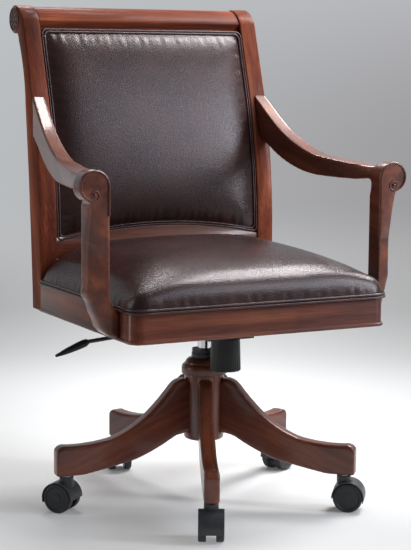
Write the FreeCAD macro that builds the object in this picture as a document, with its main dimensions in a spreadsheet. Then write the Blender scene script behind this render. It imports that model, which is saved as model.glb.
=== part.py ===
import FreeCAD, Part
import math
import os
import re
import Sketcher

# Wooden swivel office chair with leather seat and back, on a five-legged base with castors.
# Millimetres and degrees. +Z is up, -Y is the front, +X is the right of someone facing the chair.
# The origin is on the floor under the column. The lift stands 20 above its lowest point.

doc = FreeCAD.newDocument("office_chair")
sheet = doc.addObject("Spreadsheet::Sheet", "Sizes")

# Driving sizes: lengths in mm, angles in degrees, counts and shares as plain numbers.
# A size that starts with = stands on the ones before it.
SIZES = {
    # Hub and legs
    "hub_radius": 40, "hub_bottom": 128, "hub_tall": 134, "hub_top": "=hub_bottom + hub_tall",
    "hub_round": 5, "cap_radius": 46, "cap_tall": 32, "cap_neck": 27,
    "caster_reach": 290, "leg_end": 23, "leg_reach": "=caster_reach + leg_end", "leg_width": 30,
    "leg_turn": -24.5, "leg_count": 5, "leg_under": 73,
    "leg_root_rise": 15, "leg_root_bottom": "=hub_bottom + leg_root_rise",
    "leg_root_drop": 16, "leg_root_top": "=hub_top - leg_root_drop", "leg_tenon": 9,
    "leg_bolt": 8, "leg_bolt_head": 13, "leg_bolt_head_tall": 4.2, "leg_bolt_long": 50,
    "leg_bolt_rise": 77, "leg_bolt_height": "=hub_bottom + leg_bolt_rise",
    # Gas lift column
    "tube_radius": 25, "tube_wall": 2, "tube_seat": 3, "tube_bottom": "=hub_bottom + tube_seat",
    "tube_plate": 3, "tube_proud": 2, "tube_top": "=hub_top + cap_tall + tube_proud",
    "collar_radius": 26, "collar_tall": 16, "collar_sleeve": 60, "collar_groove": 2,
    "lift_room": 35, "housing_bottom": "=tube_top + collar_tall + lift_room",
    "cylinder_radius": 14, "cylinder_rise": 33, "cylinder_bottom": "=tube_bottom + cylinder_rise",
    "cylinder_in": 5, "cylinder_top": "=housing_bottom + cylinder_in", "cylinder_bore": 11,
    "cylinder_cap": 4, "cylinder_head": 14, "rod_radius": 5, "piston_rise": 86,
    "rod_piston_low": "=cylinder_bottom + piston_rise", "rod_piston_tall": 12, "rod_clip_radius": 8,
    "rod_clip_tall": 3, "bearing_radius": 12, "bearing_tall": 5, "rod_flange_radius": 9,
    "fit": 0.05, "release_radius": 3, "release_depth": 8.5, "release_proud": 4.7,
    # Tilt mechanism
    "housing_half_width": 50, "housing_front": 115, "housing_back": 28,
    "housing_tall": 25, "housing_top": "=housing_bottom + housing_tall",
    "housing_rear_tall": 10, "housing_rear_top": "=housing_bottom + housing_rear_tall",
    "sheet_thick": 3, "sleeve_radius": 20, "sleeve_drop": 9,
    "pivot_place": 35, "pivot_rise": 10, "pivot_height": "=housing_bottom + pivot_rise",
    "pivot_radius": 5, "pivot_head": 7, "pivot_head_tall": 2, "ear_gap": 2, "ear_half_long": 18,
    "ear_drop": 12, "plate_half_width": 80, "plate_half_long": 95, "plate_thick": 3, "plate_room": 1,
    "plate_bolt": 6, "plate_bolt_head": 11, "plate_bolt_head_tall": 4, "plate_bolt_long": 30,
    "plate_bolt_place": 68, "knob_place": 90, "knob_top_radius": 28.5, "knob_low_radius": 30.5,
    "knob_tall": 64, "knob_bottom": "=housing_bottom - knob_tall", "knob_wall": 5, "knob_floor": 16,
    "knob_rib_radius": 1.6, "knob_rib_count": 30, "stud_radius": 5, "stud_short": 7,
    "stud_end": "=knob_bottom + stud_short", "spring_radius": 20, "spring_wall": 6, "knob_clear": 0.6,
    # Height lever
    "lever_radius": 4, "lever_inner": 4, "lever_rise": 14.1, "lever_height": "=housing_bottom + lever_rise",
    "lever_bend": 60, "lever_end": 265, "lever_fall": 18, "lever_end_height": "=lever_height - lever_fall",
    "lever_slot": 0.3, "lever_pivot": 40, "lever_boss_radius": 6.5, "lever_boss_wide": 12,
    "lever_saddle": 1.8, "paddle_lap": 9, "paddle_start": "=lever_end - paddle_lap", "paddle_lift": 0.8,
    "paddle_start_height": "=lever_end_height + paddle_lift", "paddle_long": 72, "paddle_drop": 19,
    "paddle_radius": 7.5, "paddle_neck": 5.5, "paddle_tip": 2.6,
    # Seat frame
    "frame_width": 546, "frame_front": 244, "frame_bottom": "=housing_top + plate_thick + plate_room",
    "rail_tall": 55, "rail_thick": 28, "frame_corner": 24, "bead_tall": 6, "bead_proud": 2.5,
    "cross_rail_thick": 30, "cross_rail_place": 80, "board_thick": 10, "wood_gap": 0.1,
    # Back posts and what stands between them
    "post_front": 205, "post_width": 38, "post_sweep": 137, "back_rise": 622,
    "chair_height": "=frame_bottom + back_rise", "roll_radius": 29, "crest_set_back": 2.5,
    "crest_deep": 70, "crest_tongue": "=chair_height - crest_deep", "back_rail_place": 222,
    "back_rail_thick": 22, "lower_rail_share": 0.1688,
    "lower_rail_bottom": "=frame_bottom + lower_rail_share * back_rise",
    "lower_rail_tall": 35, "lower_rail_end_top": "=lower_rail_bottom + lower_rail_tall",
    "lower_rail_arch": 26, "lower_rail_thick": 22, "lower_rail_set_back": 3, "panel_set_back": 12,
    "panel_thick": 12, "back_crown": 15, "back_edge": 4, "back_short": 47,
    "back_top": "=chair_height - back_short",
    # Seat cushion
    "cushion_overhang": 4, "cushion_corner": 34, "cushion_tall": 83, "cushion_draw": 4, "cushion_gap": 0.3,
    "cushion_shoulder": 27, "cushion_crown": 12, "cushion_front": 8,
    # Arms and their supports
    "arm_rear_in": 30, "arm_rear_inside": "=frame_width / 2 - arm_rear_in", "arm_rear_width": 28,
    "arm_front_width": 53, "arm_mid_in": 5, "arm_mid_inside": "=frame_width / 2 - arm_mid_in",
    "arm_mid_width": 35, "arm_mid": 50, "arm_rise": 135, "arm_thick": 28,
    "support_out": 19, "support_inside": "=frame_width / 2 + support_out",
    "support_thick": 38.5, "support_front": 187, "support_deep": 41, "support_slant": 20,
    "support_rear_slant": 6, "scroll_radius": 30.5, "scroll_rise": 231,
    "scroll_height": "=frame_bottom + rail_tall + scroll_rise", "foot_rise": 44,
    "foot_top": "=frame_bottom + rail_tall + foot_rise", "foot_step": 4,
    # Castors
    "caster_trail": 10, "wheel_radius": 29.5, "wheel_wide": 15, "wheel_gap": 19,
    "wheel_dish": 4, "wheel_rim": 5, "wheel_hub": 10, "axle_radius": 4, "hood_gap": 0.8, "hood_thick": 2,
    "web_wide": 17.4, "boss_radius": 14, "hood_low": 3, "hood_reach": 197, "web_radius": 15,
    "stem_radius": 5.5, "stem_foot": 14.5, "stem_low": "=wheel_radius + stem_foot",
    "stem_up": 31, "stem_top": "=leg_under + stem_up", "socket_radius": 7, "socket_flange": 10,
    "socket_lip": 1.5, "socket_deep": 35, "socket_gap": 0.4, "overrun": 60,
}
for row, (alias, size) in enumerate(SIZES.items(), start=1):
    sheet.set("A%d" % row, str(size))
    sheet.setAlias("A%d" % row, alias)
doc.recompute()

# How each castor stands on its swivel, in degrees from its leg
CASTER_TURNS = (177, 185, 175, 150, 136)


def cells(text):
    """Name the sheet in front of every alias of an expression."""
    return re.sub(r"[a-z][a-z_]*",
                  lambda word: "Sizes." + word.group() if word.group() in SIZES else word.group(), text)


def value(text):
    """The number that an expression of aliases gives now."""
    return float(sheet.evalExpression(cells(text)))


def bind(item, **properties):
    """Bind properties to expressions; a double underscore stands for a dot."""
    for name, text in properties.items():
        item.setExpression(name.replace("__", "."), cells(text))
    return item


def place(item, x="0", y="0", z="0", turn=None, axis=(0, 0, 1)):
    """Place a sub-part or a primitive, turned about one axis by an expression."""
    bind(item, Placement__Base__x=x, Placement__Base__y=y, Placement__Base__z=z)
    if turn is not None:
        item.Placement = FreeCAD.Placement(item.Placement.Base, FreeCAD.Rotation(FreeCAD.Vector(*axis), 1))
        bind(item, Placement__Rotation__Angle=turn)
    return item


def new_body(label):
    body = doc.addObject("PartDesign::Body", label)
    body.Label = label
    return body


def origin_plane(body, role):
    return [plane for plane in body.Origin.OriginFeatures if plane.Role == role][0]


def new_sketch(owner, name, role="XY_Plane", offset="0"):
    """A sketch on an origin plane of its body, or loose in the document on the same plane."""
    if owner is not None:
        sketch = owner.newObject("Sketcher::SketchObject", name)
        sketch.AttachmentSupport = [(origin_plane(owner, role), "")]
        sketch.MapMode = "FlatFace"
        bind(sketch, AttachmentOffset__Base__z=offset)
        return sketch
    sketch = doc.addObject("Sketcher::SketchObject", name)
    turns = {"XY_Plane": (0, 0, 0), "XZ_Plane": (0, 0, 90), "YZ_Plane": (90, 0, 90)}
    yaw, pitch, roll = turns[role]
    sketch.Placement = FreeCAD.Placement(FreeCAD.Vector(), FreeCAD.Rotation(yaw, pitch, roll))
    along = {"XY_Plane": "z", "XZ_Plane": "y", "YZ_Plane": "x"}[role]
    bind(sketch, **{"Placement__Base__" + along: offset})
    return sketch


def fix_point(sketch, geometry, end, x, y):
    """Hold a point of the sketch at two expressions."""
    for kind, text in (("DistanceX", x), ("DistanceY", y)):
        number = sketch.addConstraint(Sketcher.Constraint(kind, geometry, end, value(text)))
        sketch.setExpression("Constraints[%d]" % number, cells(text))


def outline(sketch, points):
    """Close an outline. A point (x, y) ends a line, and (x, y, mid x, mid y) ends an arc."""
    spots = [FreeCAD.Vector(value(point[0]), value(point[1]), 0) for point in points]
    edges = []
    for number, start in enumerate(spots):
        point = points[(number + 1) % len(points)]
        end = spots[(number + 1) % len(points)]
        if len(point) == 2:
            edges.append((sketch.addGeometry(Part.LineSegment(start, end)), 1, 2))
            continue
        middle = FreeCAD.Vector(value(point[2]), value(point[3]), 0)
        edge = sketch.addGeometry(Part.Arc(start, middle, end))
        gap_here = (sketch.getPoint(edge, 1) - start).Length
        gap_there = (sketch.getPoint(edge, 2) - start).Length
        first = 1 if gap_here < gap_there else 2
        edges.append((edge, first, 3 - first))
        on_arc = sketch.addGeometry(Part.Point(middle), True)
        fix_point(sketch, on_arc, 1, point[2], point[3])
        sketch.addConstraint(Sketcher.Constraint("PointOnObject", on_arc, 1, edge))
    for number, (edge, first, last) in enumerate(edges):
        before, _, before_last = edges[number - 1]
        sketch.addConstraint(Sketcher.Constraint("Coincident", before, before_last, edge, first))
        fix_point(sketch, edge, first, points[number][0], points[number][1])
    return sketch


def circle(sketch, radius, x="0", y="0"):
    centre = FreeCAD.Vector(value(x), value(y), 0)
    ring = sketch.addGeometry(Part.Circle(centre, FreeCAD.Vector(0, 0, 1), value(radius)))
    fix_point(sketch, ring, 3, x, y)
    number = sketch.addConstraint(Sketcher.Constraint("Radius", ring, value(radius)))
    sketch.setExpression("Constraints[%d]" % number, cells(radius))
    return sketch


def box_points(low_x, high_x, low_y, high_y):
    return [(low_x, low_y), (high_x, low_y), (high_x, high_y), (low_x, high_y)]


def pad(body, sketch, length, reverse=False, both_sides=False):
    feature = body.newObject("PartDesign::Pad", sketch.Name + "_pad")
    feature.Profile = sketch
    feature.Reversed = reverse
    feature.Midplane = both_sides
    return bind(feature, Length=length)


def pocket(body, sketch, length, reverse=False, both_sides=False):
    feature = body.newObject("PartDesign::Pocket", sketch.Name + "_pocket")
    feature.Profile = sketch
    feature.Reversed = reverse
    feature.Midplane = both_sides
    return bind(feature, Length=length)


def revolve(body, sketch, groove=False):
    """Turn a sketch about its own vertical axis."""
    kind = "PartDesign::Groove" if groove else "PartDesign::Revolution"
    feature = body.newObject(kind, sketch.Name + "_turned")
    feature.Profile = sketch
    feature.ReferenceAxis = (sketch, ["V_Axis"])
    feature.Angle = 360
    return feature


def round_over(body, base, radius, wanted):
    """Round the edges of the last feature that a test picks."""
    doc.recompute()
    names = ["Edge%d" % (number + 1) for number, edge in enumerate(base.Shape.Edges) if wanted(edge)]
    feature = body.newObject("PartDesign::Fillet", base.Name + "_rounded")
    feature.Base = (base, names)
    return bind(feature, Radius=radius)


def around(body, features, count):
    """Repeat features about the vertical axis of their body."""
    pattern = body.newObject("PartDesign::PolarPattern", features[0].Name + "_around")
    pattern.Originals = features
    axis = [line for line in body.Origin.OriginFeatures if line.Role == "Z_Axis"][0]
    pattern.Axis = (axis, [""])
    pattern.Angle = 360
    bind(pattern, Occurrences=count)
    body.Tip = pattern
    return pattern


def turned_part(label, points):
    """A turned sub-part: points are (radius, height)."""
    body = new_body(label)
    revolve(body, outline(new_sketch(body, label + "_profile", "XZ_Plane"), points))
    return body


def ring_points(inner, outer, low, high):
    return box_points(inner, outer, low, high)


def solid_box(name, low_x, high_x, low_y, high_y, low_z, high_z):
    box = doc.addObject("Part::Box", name)
    bind(box, Length="%s - (%s)" % (high_x, low_x), Width="%s - (%s)" % (high_y, low_y),
         Height="%s - (%s)" % (high_z, low_z))
    return place(box, low_x, low_y, low_z)


def rod_along(name, direction, radius, length, x, y, z):
    """A round bar that runs along x, y or z from its start."""
    rod = doc.addObject("Part::Cylinder", name)
    bind(rod, Radius=radius, Height=length)
    axis, turn = {"x": ((0, 1, 0), "90"), "y": ((1, 0, 0), "-90"), "z": ((0, 0, 1), "0")}[direction]
    return place(rod, x, y, z, turn, axis)


def cut(name, base, tool):
    result = doc.addObject("Part::Cut", name)
    result.Base = base
    result.Tool = tool
    result.Label = name
    return result


def join(name, pieces):
    result = doc.addObject("Part::MultiFuse", name)
    result.Shapes = pieces
    result.Label = name
    return result


def gather(name, pieces):
    result = doc.addObject("Part::Compound", name)
    result.Links = pieces
    result.Label = name
    return result


def keep_common(name, pieces):
    result = doc.addObject("Part::MultiCommon", name)
    result.Shapes = pieces
    result.Label = name
    return result


def extrude(name, sketch, length, both_sides=False):
    result = doc.addObject("Part::Extrusion", name)
    result.Base = sketch
    result.DirMode = "Normal"
    result.Solid = True
    result.Symmetric = both_sides
    return bind(result, LengthFwd=length)


parts = []

# Hub: a turned wooden column, bored for the lift, with a mortise and a bolt hole for each leg
hub = new_body("hub_column")
hub_disc = circle(new_sketch(hub, "hub_disc", offset="hub_bottom"), "hub_radius")
hub_pad = pad(hub, hub_disc, "hub_top - hub_bottom")
hub_low = value("hub_bottom")
round_over(hub, hub_pad, "hub_round", lambda edge: abs(edge.BoundBox.ZMax - hub_low) < value("fit"))
hub_bore = circle(new_sketch(hub, "hub_bore", offset="hub_bottom"), "tube_radius + fit")
pocket(hub, hub_bore, "hub_top - hub_bottom", reverse=True)
mortise = outline(
    new_sketch(hub, "mortise", offset="leg_root_bottom - wood_gap"),
    box_points("-leg_width / 2 - wood_gap", "leg_width / 2 + wood_gap",
               "-hub_radius - overrun", "-hub_radius + leg_tenon + wood_gap"))
mortise_cut = pocket(hub, mortise, "leg_root_top - leg_root_bottom + 2 * wood_gap", reverse=True)
bolt_way = circle(new_sketch(hub, "bolt_way", "XZ_Plane"), "leg_bolt / 2 + fit", "0", "leg_bolt_height")
bolt_cut = pocket(hub, bolt_way, "hub_radius", reverse=True)
head_way = circle(new_sketch(hub, "head_way", "XZ_Plane"), "leg_bolt_head / 2 + fit", "0",
                  "leg_bolt_height")
head_cut = pocket(hub, head_way, "tube_radius + leg_bolt_head_tall + wood_gap", reverse=True)
around(hub, [mortise_cut, bolt_cut, head_cut], "leg_count")
place(hub, turn="leg_turn")
parts.append(hub)

# Turned cap that covers the top of the hub and the roots of the legs
parts.append(turned_part("hub_cap", [
    ("tube_radius + fit", "hub_top"),
    ("cap_radius", "hub_top"),
    ("cap_radius", "hub_top + 0.31 * cap_tall"),
    ("cap_radius - 0.25 * (cap_radius - cap_neck)", "hub_top + 0.62 * cap_tall",
     "cap_radius - 0.07 * (cap_radius - cap_neck)", "hub_top + 0.50 * cap_tall"),
    ("cap_radius - 0.36 * (cap_radius - cap_neck)", "hub_top + 0.62 * cap_tall"),
    ("cap_neck", "hub_top + cap_tall",
     "cap_radius - 0.56 * (cap_radius - cap_neck)", "hub_top + 0.88 * cap_tall"),
    ("tube_radius + fit", "hub_top + cap_tall"),
]))

# Legs: sawn from thick boards, tenoned into the hub, each with a hole for its bolt and its castor socket.
# The outline gives, for each point, a share of the reach and a share of the rise.
LEG_SHARES = (
    ((0.000, 0.955), None),
    ((0.114, 0.900), (0.066, 0.945)),
    ((0.256, 0.667), (0.183, 0.780)),
    ((0.586, 0.362), (0.396, 0.497)),
    ((0.923, 0.323), (0.751, 0.326)),
    ((1.000, 0.275), (0.978, 0.310)),
)
LEG_UNDER_SHARES = (
    ((0.800, 0.000), None),
    ((0.400, 0.122), (0.600, 0.056)),
    ((0.088, 0.347), (0.238, 0.222)),
)


def leg_spot(share):
    across = "-(hub_radius + %.3f * (leg_reach - hub_radius))" % share[0]
    return across, "leg_under + %.3f * (hub_top - leg_under)" % share[1]


def leg_outline():
    points = [("-hub_radius + leg_tenon", "leg_root_bottom"), ("-hub_radius + leg_tenon", "leg_root_top"),
              ("-hub_radius", "leg_root_top")]
    for spot, middle in LEG_SHARES:
        points.append(leg_spot(spot) if middle is None else leg_spot(spot) + leg_spot(middle))
    points.append(("-leg_reach", "leg_under"))
    for spot, middle in LEG_UNDER_SHARES:
        points.append(leg_spot(spot) if middle is None else leg_spot(spot) + leg_spot(middle))
    points.append(("-hub_radius", "leg_root_bottom"))
    return points


def leg(number):
    """One leg along -Y, turned to its own place."""
    body = new_body("leg_%d" % (number + 1))
    side = outline(new_sketch(body, "leg_side_%d" % number, "YZ_Plane"), leg_outline())
    pad(body, side, "leg_width", both_sides=True)
    hole = circle(new_sketch(body, "leg_bolt_hole_%d" % number, "XZ_Plane"),
                  "leg_bolt / 2 + fit", "0", "leg_bolt_height")
    pocket(body, hole, "tube_radius + leg_bolt_head_tall + leg_bolt_long + wood_gap", reverse=True)
    socket = circle(new_sketch(body, "leg_socket_hole_%d" % number, offset="leg_under"),
                    "socket_radius + fit", "0", "-caster_reach")
    pocket(body, socket, "socket_deep + wood_gap", reverse=True)
    place(body, turn="leg_turn + %d * 360 / leg_count" % number)
    return body


LEG_NUMBERS = range(int(value("leg_count")))
for leg_number in LEG_NUMBERS:
    parts.append(leg(leg_number))

# Leg bolts: each runs from a recess in the bore of the hub into its leg
leg_bolts = []
for leg_number in LEG_NUMBERS:
    head = rod_along("bolt_head_%d" % leg_number, "y", "leg_bolt_head / 2", "leg_bolt_head_tall",
                     "0", "-tube_radius - leg_bolt_head_tall - wood_gap", "leg_bolt_height")
    shank = rod_along("bolt_shank_%d" % leg_number, "y", "leg_bolt / 2", "leg_bolt_long",
                      "0", "-tube_radius - leg_bolt_head_tall - leg_bolt_long", "leg_bolt_height")
    bolt = join("leg_bolt_%d" % leg_number, [head, shank])
    leg_bolts.append(place(bolt, turn="leg_turn + %d * 360 / leg_count" % leg_number))
parts.append(gather("leg_bolts", leg_bolts))

# Castor sockets: steel sleeves with a lip, pressed into the leg ends from below
sockets = []
for leg_number in LEG_NUMBERS:
    sleeve = outline(new_sketch(None, "socket_profile_%d" % leg_number, "XZ_Plane"), [
        ("stem_radius + fit", "leg_under - socket_lip"), ("socket_flange", "leg_under - socket_lip"),
        ("socket_flange", "leg_under"), ("socket_radius", "leg_under"),
        ("socket_radius", "leg_under + socket_deep"), ("stem_radius + fit", "leg_under + socket_deep")])
    turned = doc.addObject("Part::Revolution", "socket_%d" % leg_number)
    turned.Source = sleeve
    turned.Axis = (0, 0, 1)
    turned.Angle = 360
    turned.Solid = True
    turn = "leg_turn + %d * 360 / leg_count" % leg_number
    place(turned, "caster_reach * sin(%s)" % turn, "-caster_reach * cos(%s)" % turn)
    sockets.append(turned)
parts.append(gather("caster_sockets", sockets))

# Steel outer tube of the lift, with the plate at its foot that holds the rod
parts.append(turned_part("outer_tube", [
    ("rod_radius + fit", "tube_bottom"), ("tube_radius", "tube_bottom"), ("tube_radius", "tube_top"),
    ("tube_radius - tube_wall", "tube_top"), ("tube_radius - tube_wall", "tube_bottom + tube_plate"),
    ("rod_radius + fit", "tube_bottom + tube_plate")]))

# Black guide bush: a sleeve in the tube and two rings that show above it
parts.append(turned_part("column_collar", [
    ("cylinder_radius + fit", "tube_top - collar_sleeve"),
    ("tube_radius - tube_wall - fit", "tube_top - collar_sleeve"),
    ("tube_radius - tube_wall - fit", "tube_top"),
    ("collar_radius", "tube_top"),
    ("collar_radius", "tube_top + (collar_tall - collar_groove) / 2"),
    ("collar_radius - collar_groove", "tube_top + (collar_tall - collar_groove) / 2"),
    ("collar_radius - collar_groove", "tube_top + (collar_tall + collar_groove) / 2"),
    ("collar_radius - collar_groove / 2", "tube_top + (collar_tall + collar_groove) / 2"),
    ("collar_radius - collar_groove / 2", "tube_top + collar_tall"),
    ("cylinder_radius + fit", "tube_top + collar_tall")]))

# Piston rod: its clip holds it under the plate, its flange stands on the bearing
parts.append(turned_part("piston_rod", [
    ("0", "tube_bottom - rod_clip_tall - socket_gap"),
    ("rod_clip_radius", "tube_bottom - rod_clip_tall - socket_gap"),
    ("rod_clip_radius", "tube_bottom - socket_gap"),
    ("rod_radius", "tube_bottom - socket_gap"),
    ("rod_radius", "tube_bottom + tube_plate + bearing_tall"),
    ("rod_flange_radius", "tube_bottom + tube_plate + bearing_tall"),
    ("rod_flange_radius", "tube_bottom + tube_plate + bearing_tall + rod_clip_tall"),
    ("rod_radius", "tube_bottom + tube_plate + bearing_tall + rod_clip_tall"),
    ("rod_radius", "rod_piston_low"),
    ("cylinder_bore - fit", "rod_piston_low"),
    ("cylinder_bore - fit", "rod_piston_low + rod_piston_tall"),
    ("0", "rod_piston_low + rod_piston_tall")]))
parts.append(turned_part("thrust_bearing", ring_points(
    "rod_radius + fit", "bearing_radius", "tube_bottom + tube_plate",
    "tube_bottom + tube_plate + bearing_tall")))

# Chrome cylinder of the lift, with the well of the release pin in its head
parts.append(turned_part("gas_cylinder", [
    ("rod_radius + fit", "cylinder_bottom"), ("cylinder_radius", "cylinder_bottom"),
    ("cylinder_radius", "cylinder_top"), ("release_radius + fit", "cylinder_top"),
    ("release_radius + fit", "cylinder_top - release_depth - release_proud"),
    ("0", "cylinder_top - release_depth - release_proud"),
    ("0", "cylinder_top - cylinder_head - release_proud"),
    ("cylinder_bore", "cylinder_top - cylinder_head - release_proud"),
    ("cylinder_bore", "cylinder_bottom + cylinder_cap"),
    ("rod_radius + fit", "cylinder_bottom + cylinder_cap")]))
parts.append(turned_part("release_pin", box_points(
    "0", "release_radius", "cylinder_top - release_depth", "cylinder_top + release_proud")))

# Tilt housing: a folded steel tray on the cylinder, with its socket, the stud of the knob, and a slot and
# a saddle for the lever
tray_side = outline(new_sketch(None, "housing_side", "YZ_Plane"), [
    ("-housing_front", "housing_bottom"), ("housing_back", "housing_bottom"),
    ("housing_back", "housing_rear_top"), ("-pivot_place", "housing_top"),
    ("-housing_front", "housing_top")])
tray = extrude("housing_blank", tray_side, "2 * housing_half_width", both_sides=True)
tray_room = solid_box("housing_room", "-housing_half_width + sheet_thick",
                      "housing_half_width - sheet_thick",
                      "-housing_front + sheet_thick", "housing_back - sheet_thick",
                      "housing_bottom + sheet_thick", "housing_top + overrun")
tray_socket = rod_along("housing_socket", "z", "sleeve_radius",
                        "cylinder_top - housing_bottom + sleeve_drop",
                        "0", "0", "housing_bottom - sleeve_drop")
tray_stud = rod_along("housing_stud", "z", "stud_radius", "housing_bottom + sheet_thick - stud_end",
                      "0", "-knob_place", "stud_end")
tray_saddle = solid_box("housing_saddle", "-lever_pivot - 0.75 * lever_boss_radius",
                        "-lever_pivot + 0.75 * lever_boss_radius", "-lever_boss_wide / 2",
                        "lever_boss_wide / 2",
                        "housing_bottom + sheet_thick / 2",
                        "lever_height - lever_boss_radius + lever_saddle")
tray_solid = join("housing_solid", [cut("housing_tray", tray, tray_room), tray_socket, tray_stud,
                                    tray_saddle])
tray_bore = rod_along("housing_bore", "z", "cylinder_radius + fit", "sleeve_drop + overrun",
                      "0", "0", "housing_bottom - sleeve_drop - wood_gap")
tray_pin = rod_along("housing_pin_holes", "x", "pivot_radius + fit", "2 * housing_half_width + overrun",
                     "-housing_half_width - overrun / 2", "-pivot_place", "pivot_height")
tray_slot = solid_box("housing_lever_slot", "-housing_half_width - wood_gap",
                      "-housing_half_width + sheet_thick + wood_gap",
                      "-lever_radius - lever_slot", "lever_radius + lever_slot",
                      "lever_height - lever_radius - lever_slot", "housing_top + overrun")
tray_seat = rod_along("housing_boss_seat", "y", "lever_boss_radius + fit", "lever_boss_wide + 2 * wood_gap",
                      "-lever_pivot", "-lever_boss_wide / 2 - wood_gap", "lever_height")
parts.append(cut("tilt_housing", tray_solid,
                 join("housing_ways", [tray_bore, tray_pin, tray_slot, tray_seat])))

# Pivot pin across the housing, with a head outside each ear of the seat plate
pin_half = "(housing_half_width + ear_gap + sheet_thick + ear_gap / 4)"
parts.append(join("pivot_pin", [
    rod_along("pivot_bar", "x", "pivot_radius", "2 * %s" % pin_half, "-" + pin_half, "-pivot_place",
              "pivot_height"),
    rod_along("pivot_head_left", "x", "pivot_head", "pivot_head_tall", "-%s - pivot_head_tall" % pin_half,
              "-pivot_place", "pivot_height"),
    rod_along("pivot_head_right", "x", "pivot_head", "pivot_head_tall", pin_half, "-pivot_place",
              "pivot_height")]))

# Tension spring round the stud, inside the knob
spring = turned_part("tension_spring", ring_points(
    "spring_radius - spring_wall", "spring_radius", "knob_bottom + knob_floor + knob_clear",
    "housing_bottom"))
parts.append(place(spring, y="-knob_place"))

# Tension knob: a ribbed black cup that turns on the stud
knob = new_body("tension_knob")
knob_top = "housing_bottom - knob_clear"
revolve(knob, outline(new_sketch(knob, "knob_profile", "XZ_Plane"), [
    ("stud_radius + fit", "knob_bottom"),
    ("knob_low_radius - knob_wall / 2", "knob_bottom"),
    ("knob_low_radius", "knob_bottom + knob_wall / 2",
     "knob_low_radius - 0.15 * knob_wall", "knob_bottom + 0.15 * knob_wall"),
    ("knob_top_radius", knob_top),
    ("knob_top_radius - knob_wall", knob_top),
    ("knob_top_radius - knob_wall", "knob_bottom + knob_floor"),
    ("stud_radius + fit", "knob_bottom + knob_floor")]))
flute = circle(new_sketch(knob, "knob_flute", offset="knob_bottom - overrun / 10"), "knob_rib_radius",
               "0", "-knob_low_radius - knob_rib_radius / 4")
flute_cut = pocket(knob, flute, "%s - knob_bottom + overrun" % knob_top, reverse=True)
around(knob, [flute_cut], "knob_rib_count")
parts.append(place(knob, y="-knob_place"))

# Height lever: a bent steel rod that rocks on a round boss in the saddle of the housing
lever = new_body("lever_bar")
lever_path = new_sketch(lever, "lever_path", "XZ_Plane")
lever_spots = [("lever_inner", "lever_height"), ("-lever_bend", "lever_height"),
               ("-lever_end", "lever_end_height")]
lever_lines = []
for start, end in zip(lever_spots, lever_spots[1:]):
    first = FreeCAD.Vector(value(start[0]), value(start[1]), 0)
    last = FreeCAD.Vector(value(end[0]), value(end[1]), 0)
    lever_lines.append(lever_path.addGeometry(Part.LineSegment(first, last)))
fix_point(lever_path, lever_lines[0], 1, *lever_spots[0])
fix_point(lever_path, lever_lines[1], 1, *lever_spots[1])
fix_point(lever_path, lever_lines[1], 2, *lever_spots[2])
lever_path.addConstraint(Sketcher.Constraint("Coincident", lever_lines[0], 2, lever_lines[1], 1))
lever_ring = circle(new_sketch(lever, "lever_section", "YZ_Plane", "lever_inner"), "lever_radius", "0",
                    "lever_height")
lever_pipe = lever.newObject("PartDesign::AdditivePipe", "lever_pipe")
lever_pipe.Profile = lever_ring
lever_pipe.Spine = lever_path
lever_boss = cut("lever_boss", rod_along("lever_boss_round", "y", "lever_boss_radius", "lever_boss_wide",
                                         "-lever_pivot",
                                         "-lever_boss_wide / 2", "lever_height"),
                 solid_box("lever_boss_flat", "-lever_pivot - lever_boss_radius",
                           "-lever_pivot + lever_boss_radius",
                           "-lever_boss_wide", "lever_boss_wide", "lever_height + 0.9 * lever_radius",
                           "lever_height + 2 * lever_boss_radius"))
parts.append(join("lever_rod", [lever, lever_boss]))

# Lever handle: a black moulding on the end of the rod, thick near its neck and tapering to the tip
grip = new_body("lever_grip")
revolve(grip, outline(new_sketch(grip, "grip_profile", "XZ_Plane"), [
    ("0", "0"), ("paddle_neck", "0"),
    ("paddle_radius", "0.16 * paddle_long", "0.93 * paddle_radius", "0.07 * paddle_long"),
    ("paddle_tip", "0.97 * paddle_long", "0.86 * paddle_radius", "0.55 * paddle_long"),
    ("0.4 * paddle_tip", "paddle_long", "0.83 * paddle_tip", "0.991 * paddle_long"), ("0", "paddle_long")]))
place(grip, "-paddle_start", "0", "paddle_start_height", "-90 - paddle_drop", (0, 1, 0))
parts.append(cut("lever_paddle", grip, lever))


# Castors. Each stands on its swivel axis at the origin, with the axle behind it along +Y.
def on_caster(item, number, half_turn=False, on_axle=True):
    """Place a castor piece at the end of its leg, with the turn that the castor has at rest."""
    leg_angle = "(leg_turn + %d * 360 / leg_count)" % number
    angle = "%s + %d" % (leg_angle, CASTER_TURNS[number])
    x = "caster_reach * sin(%s)" % leg_angle
    y = "-caster_reach * cos(%s)" % leg_angle
    if on_axle:
        x += " - caster_trail * sin(%s)" % angle
        y += " + caster_trail * cos(%s)" % angle
    height = "wheel_radius" if on_axle else "0"
    return place(item, x, y, height, angle + (" + 180" if half_turn else ""))


def hood_rim(turn):
    """A point of the hood's rim, at an angle from the stem side of the axle."""
    radius = "(wheel_radius + hood_gap + hood_thick)"
    return "caster_trail - %s * cos(%s)" % (radius, turn), "wheel_radius + %s * sin(%s)" % (radius, turn)


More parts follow.
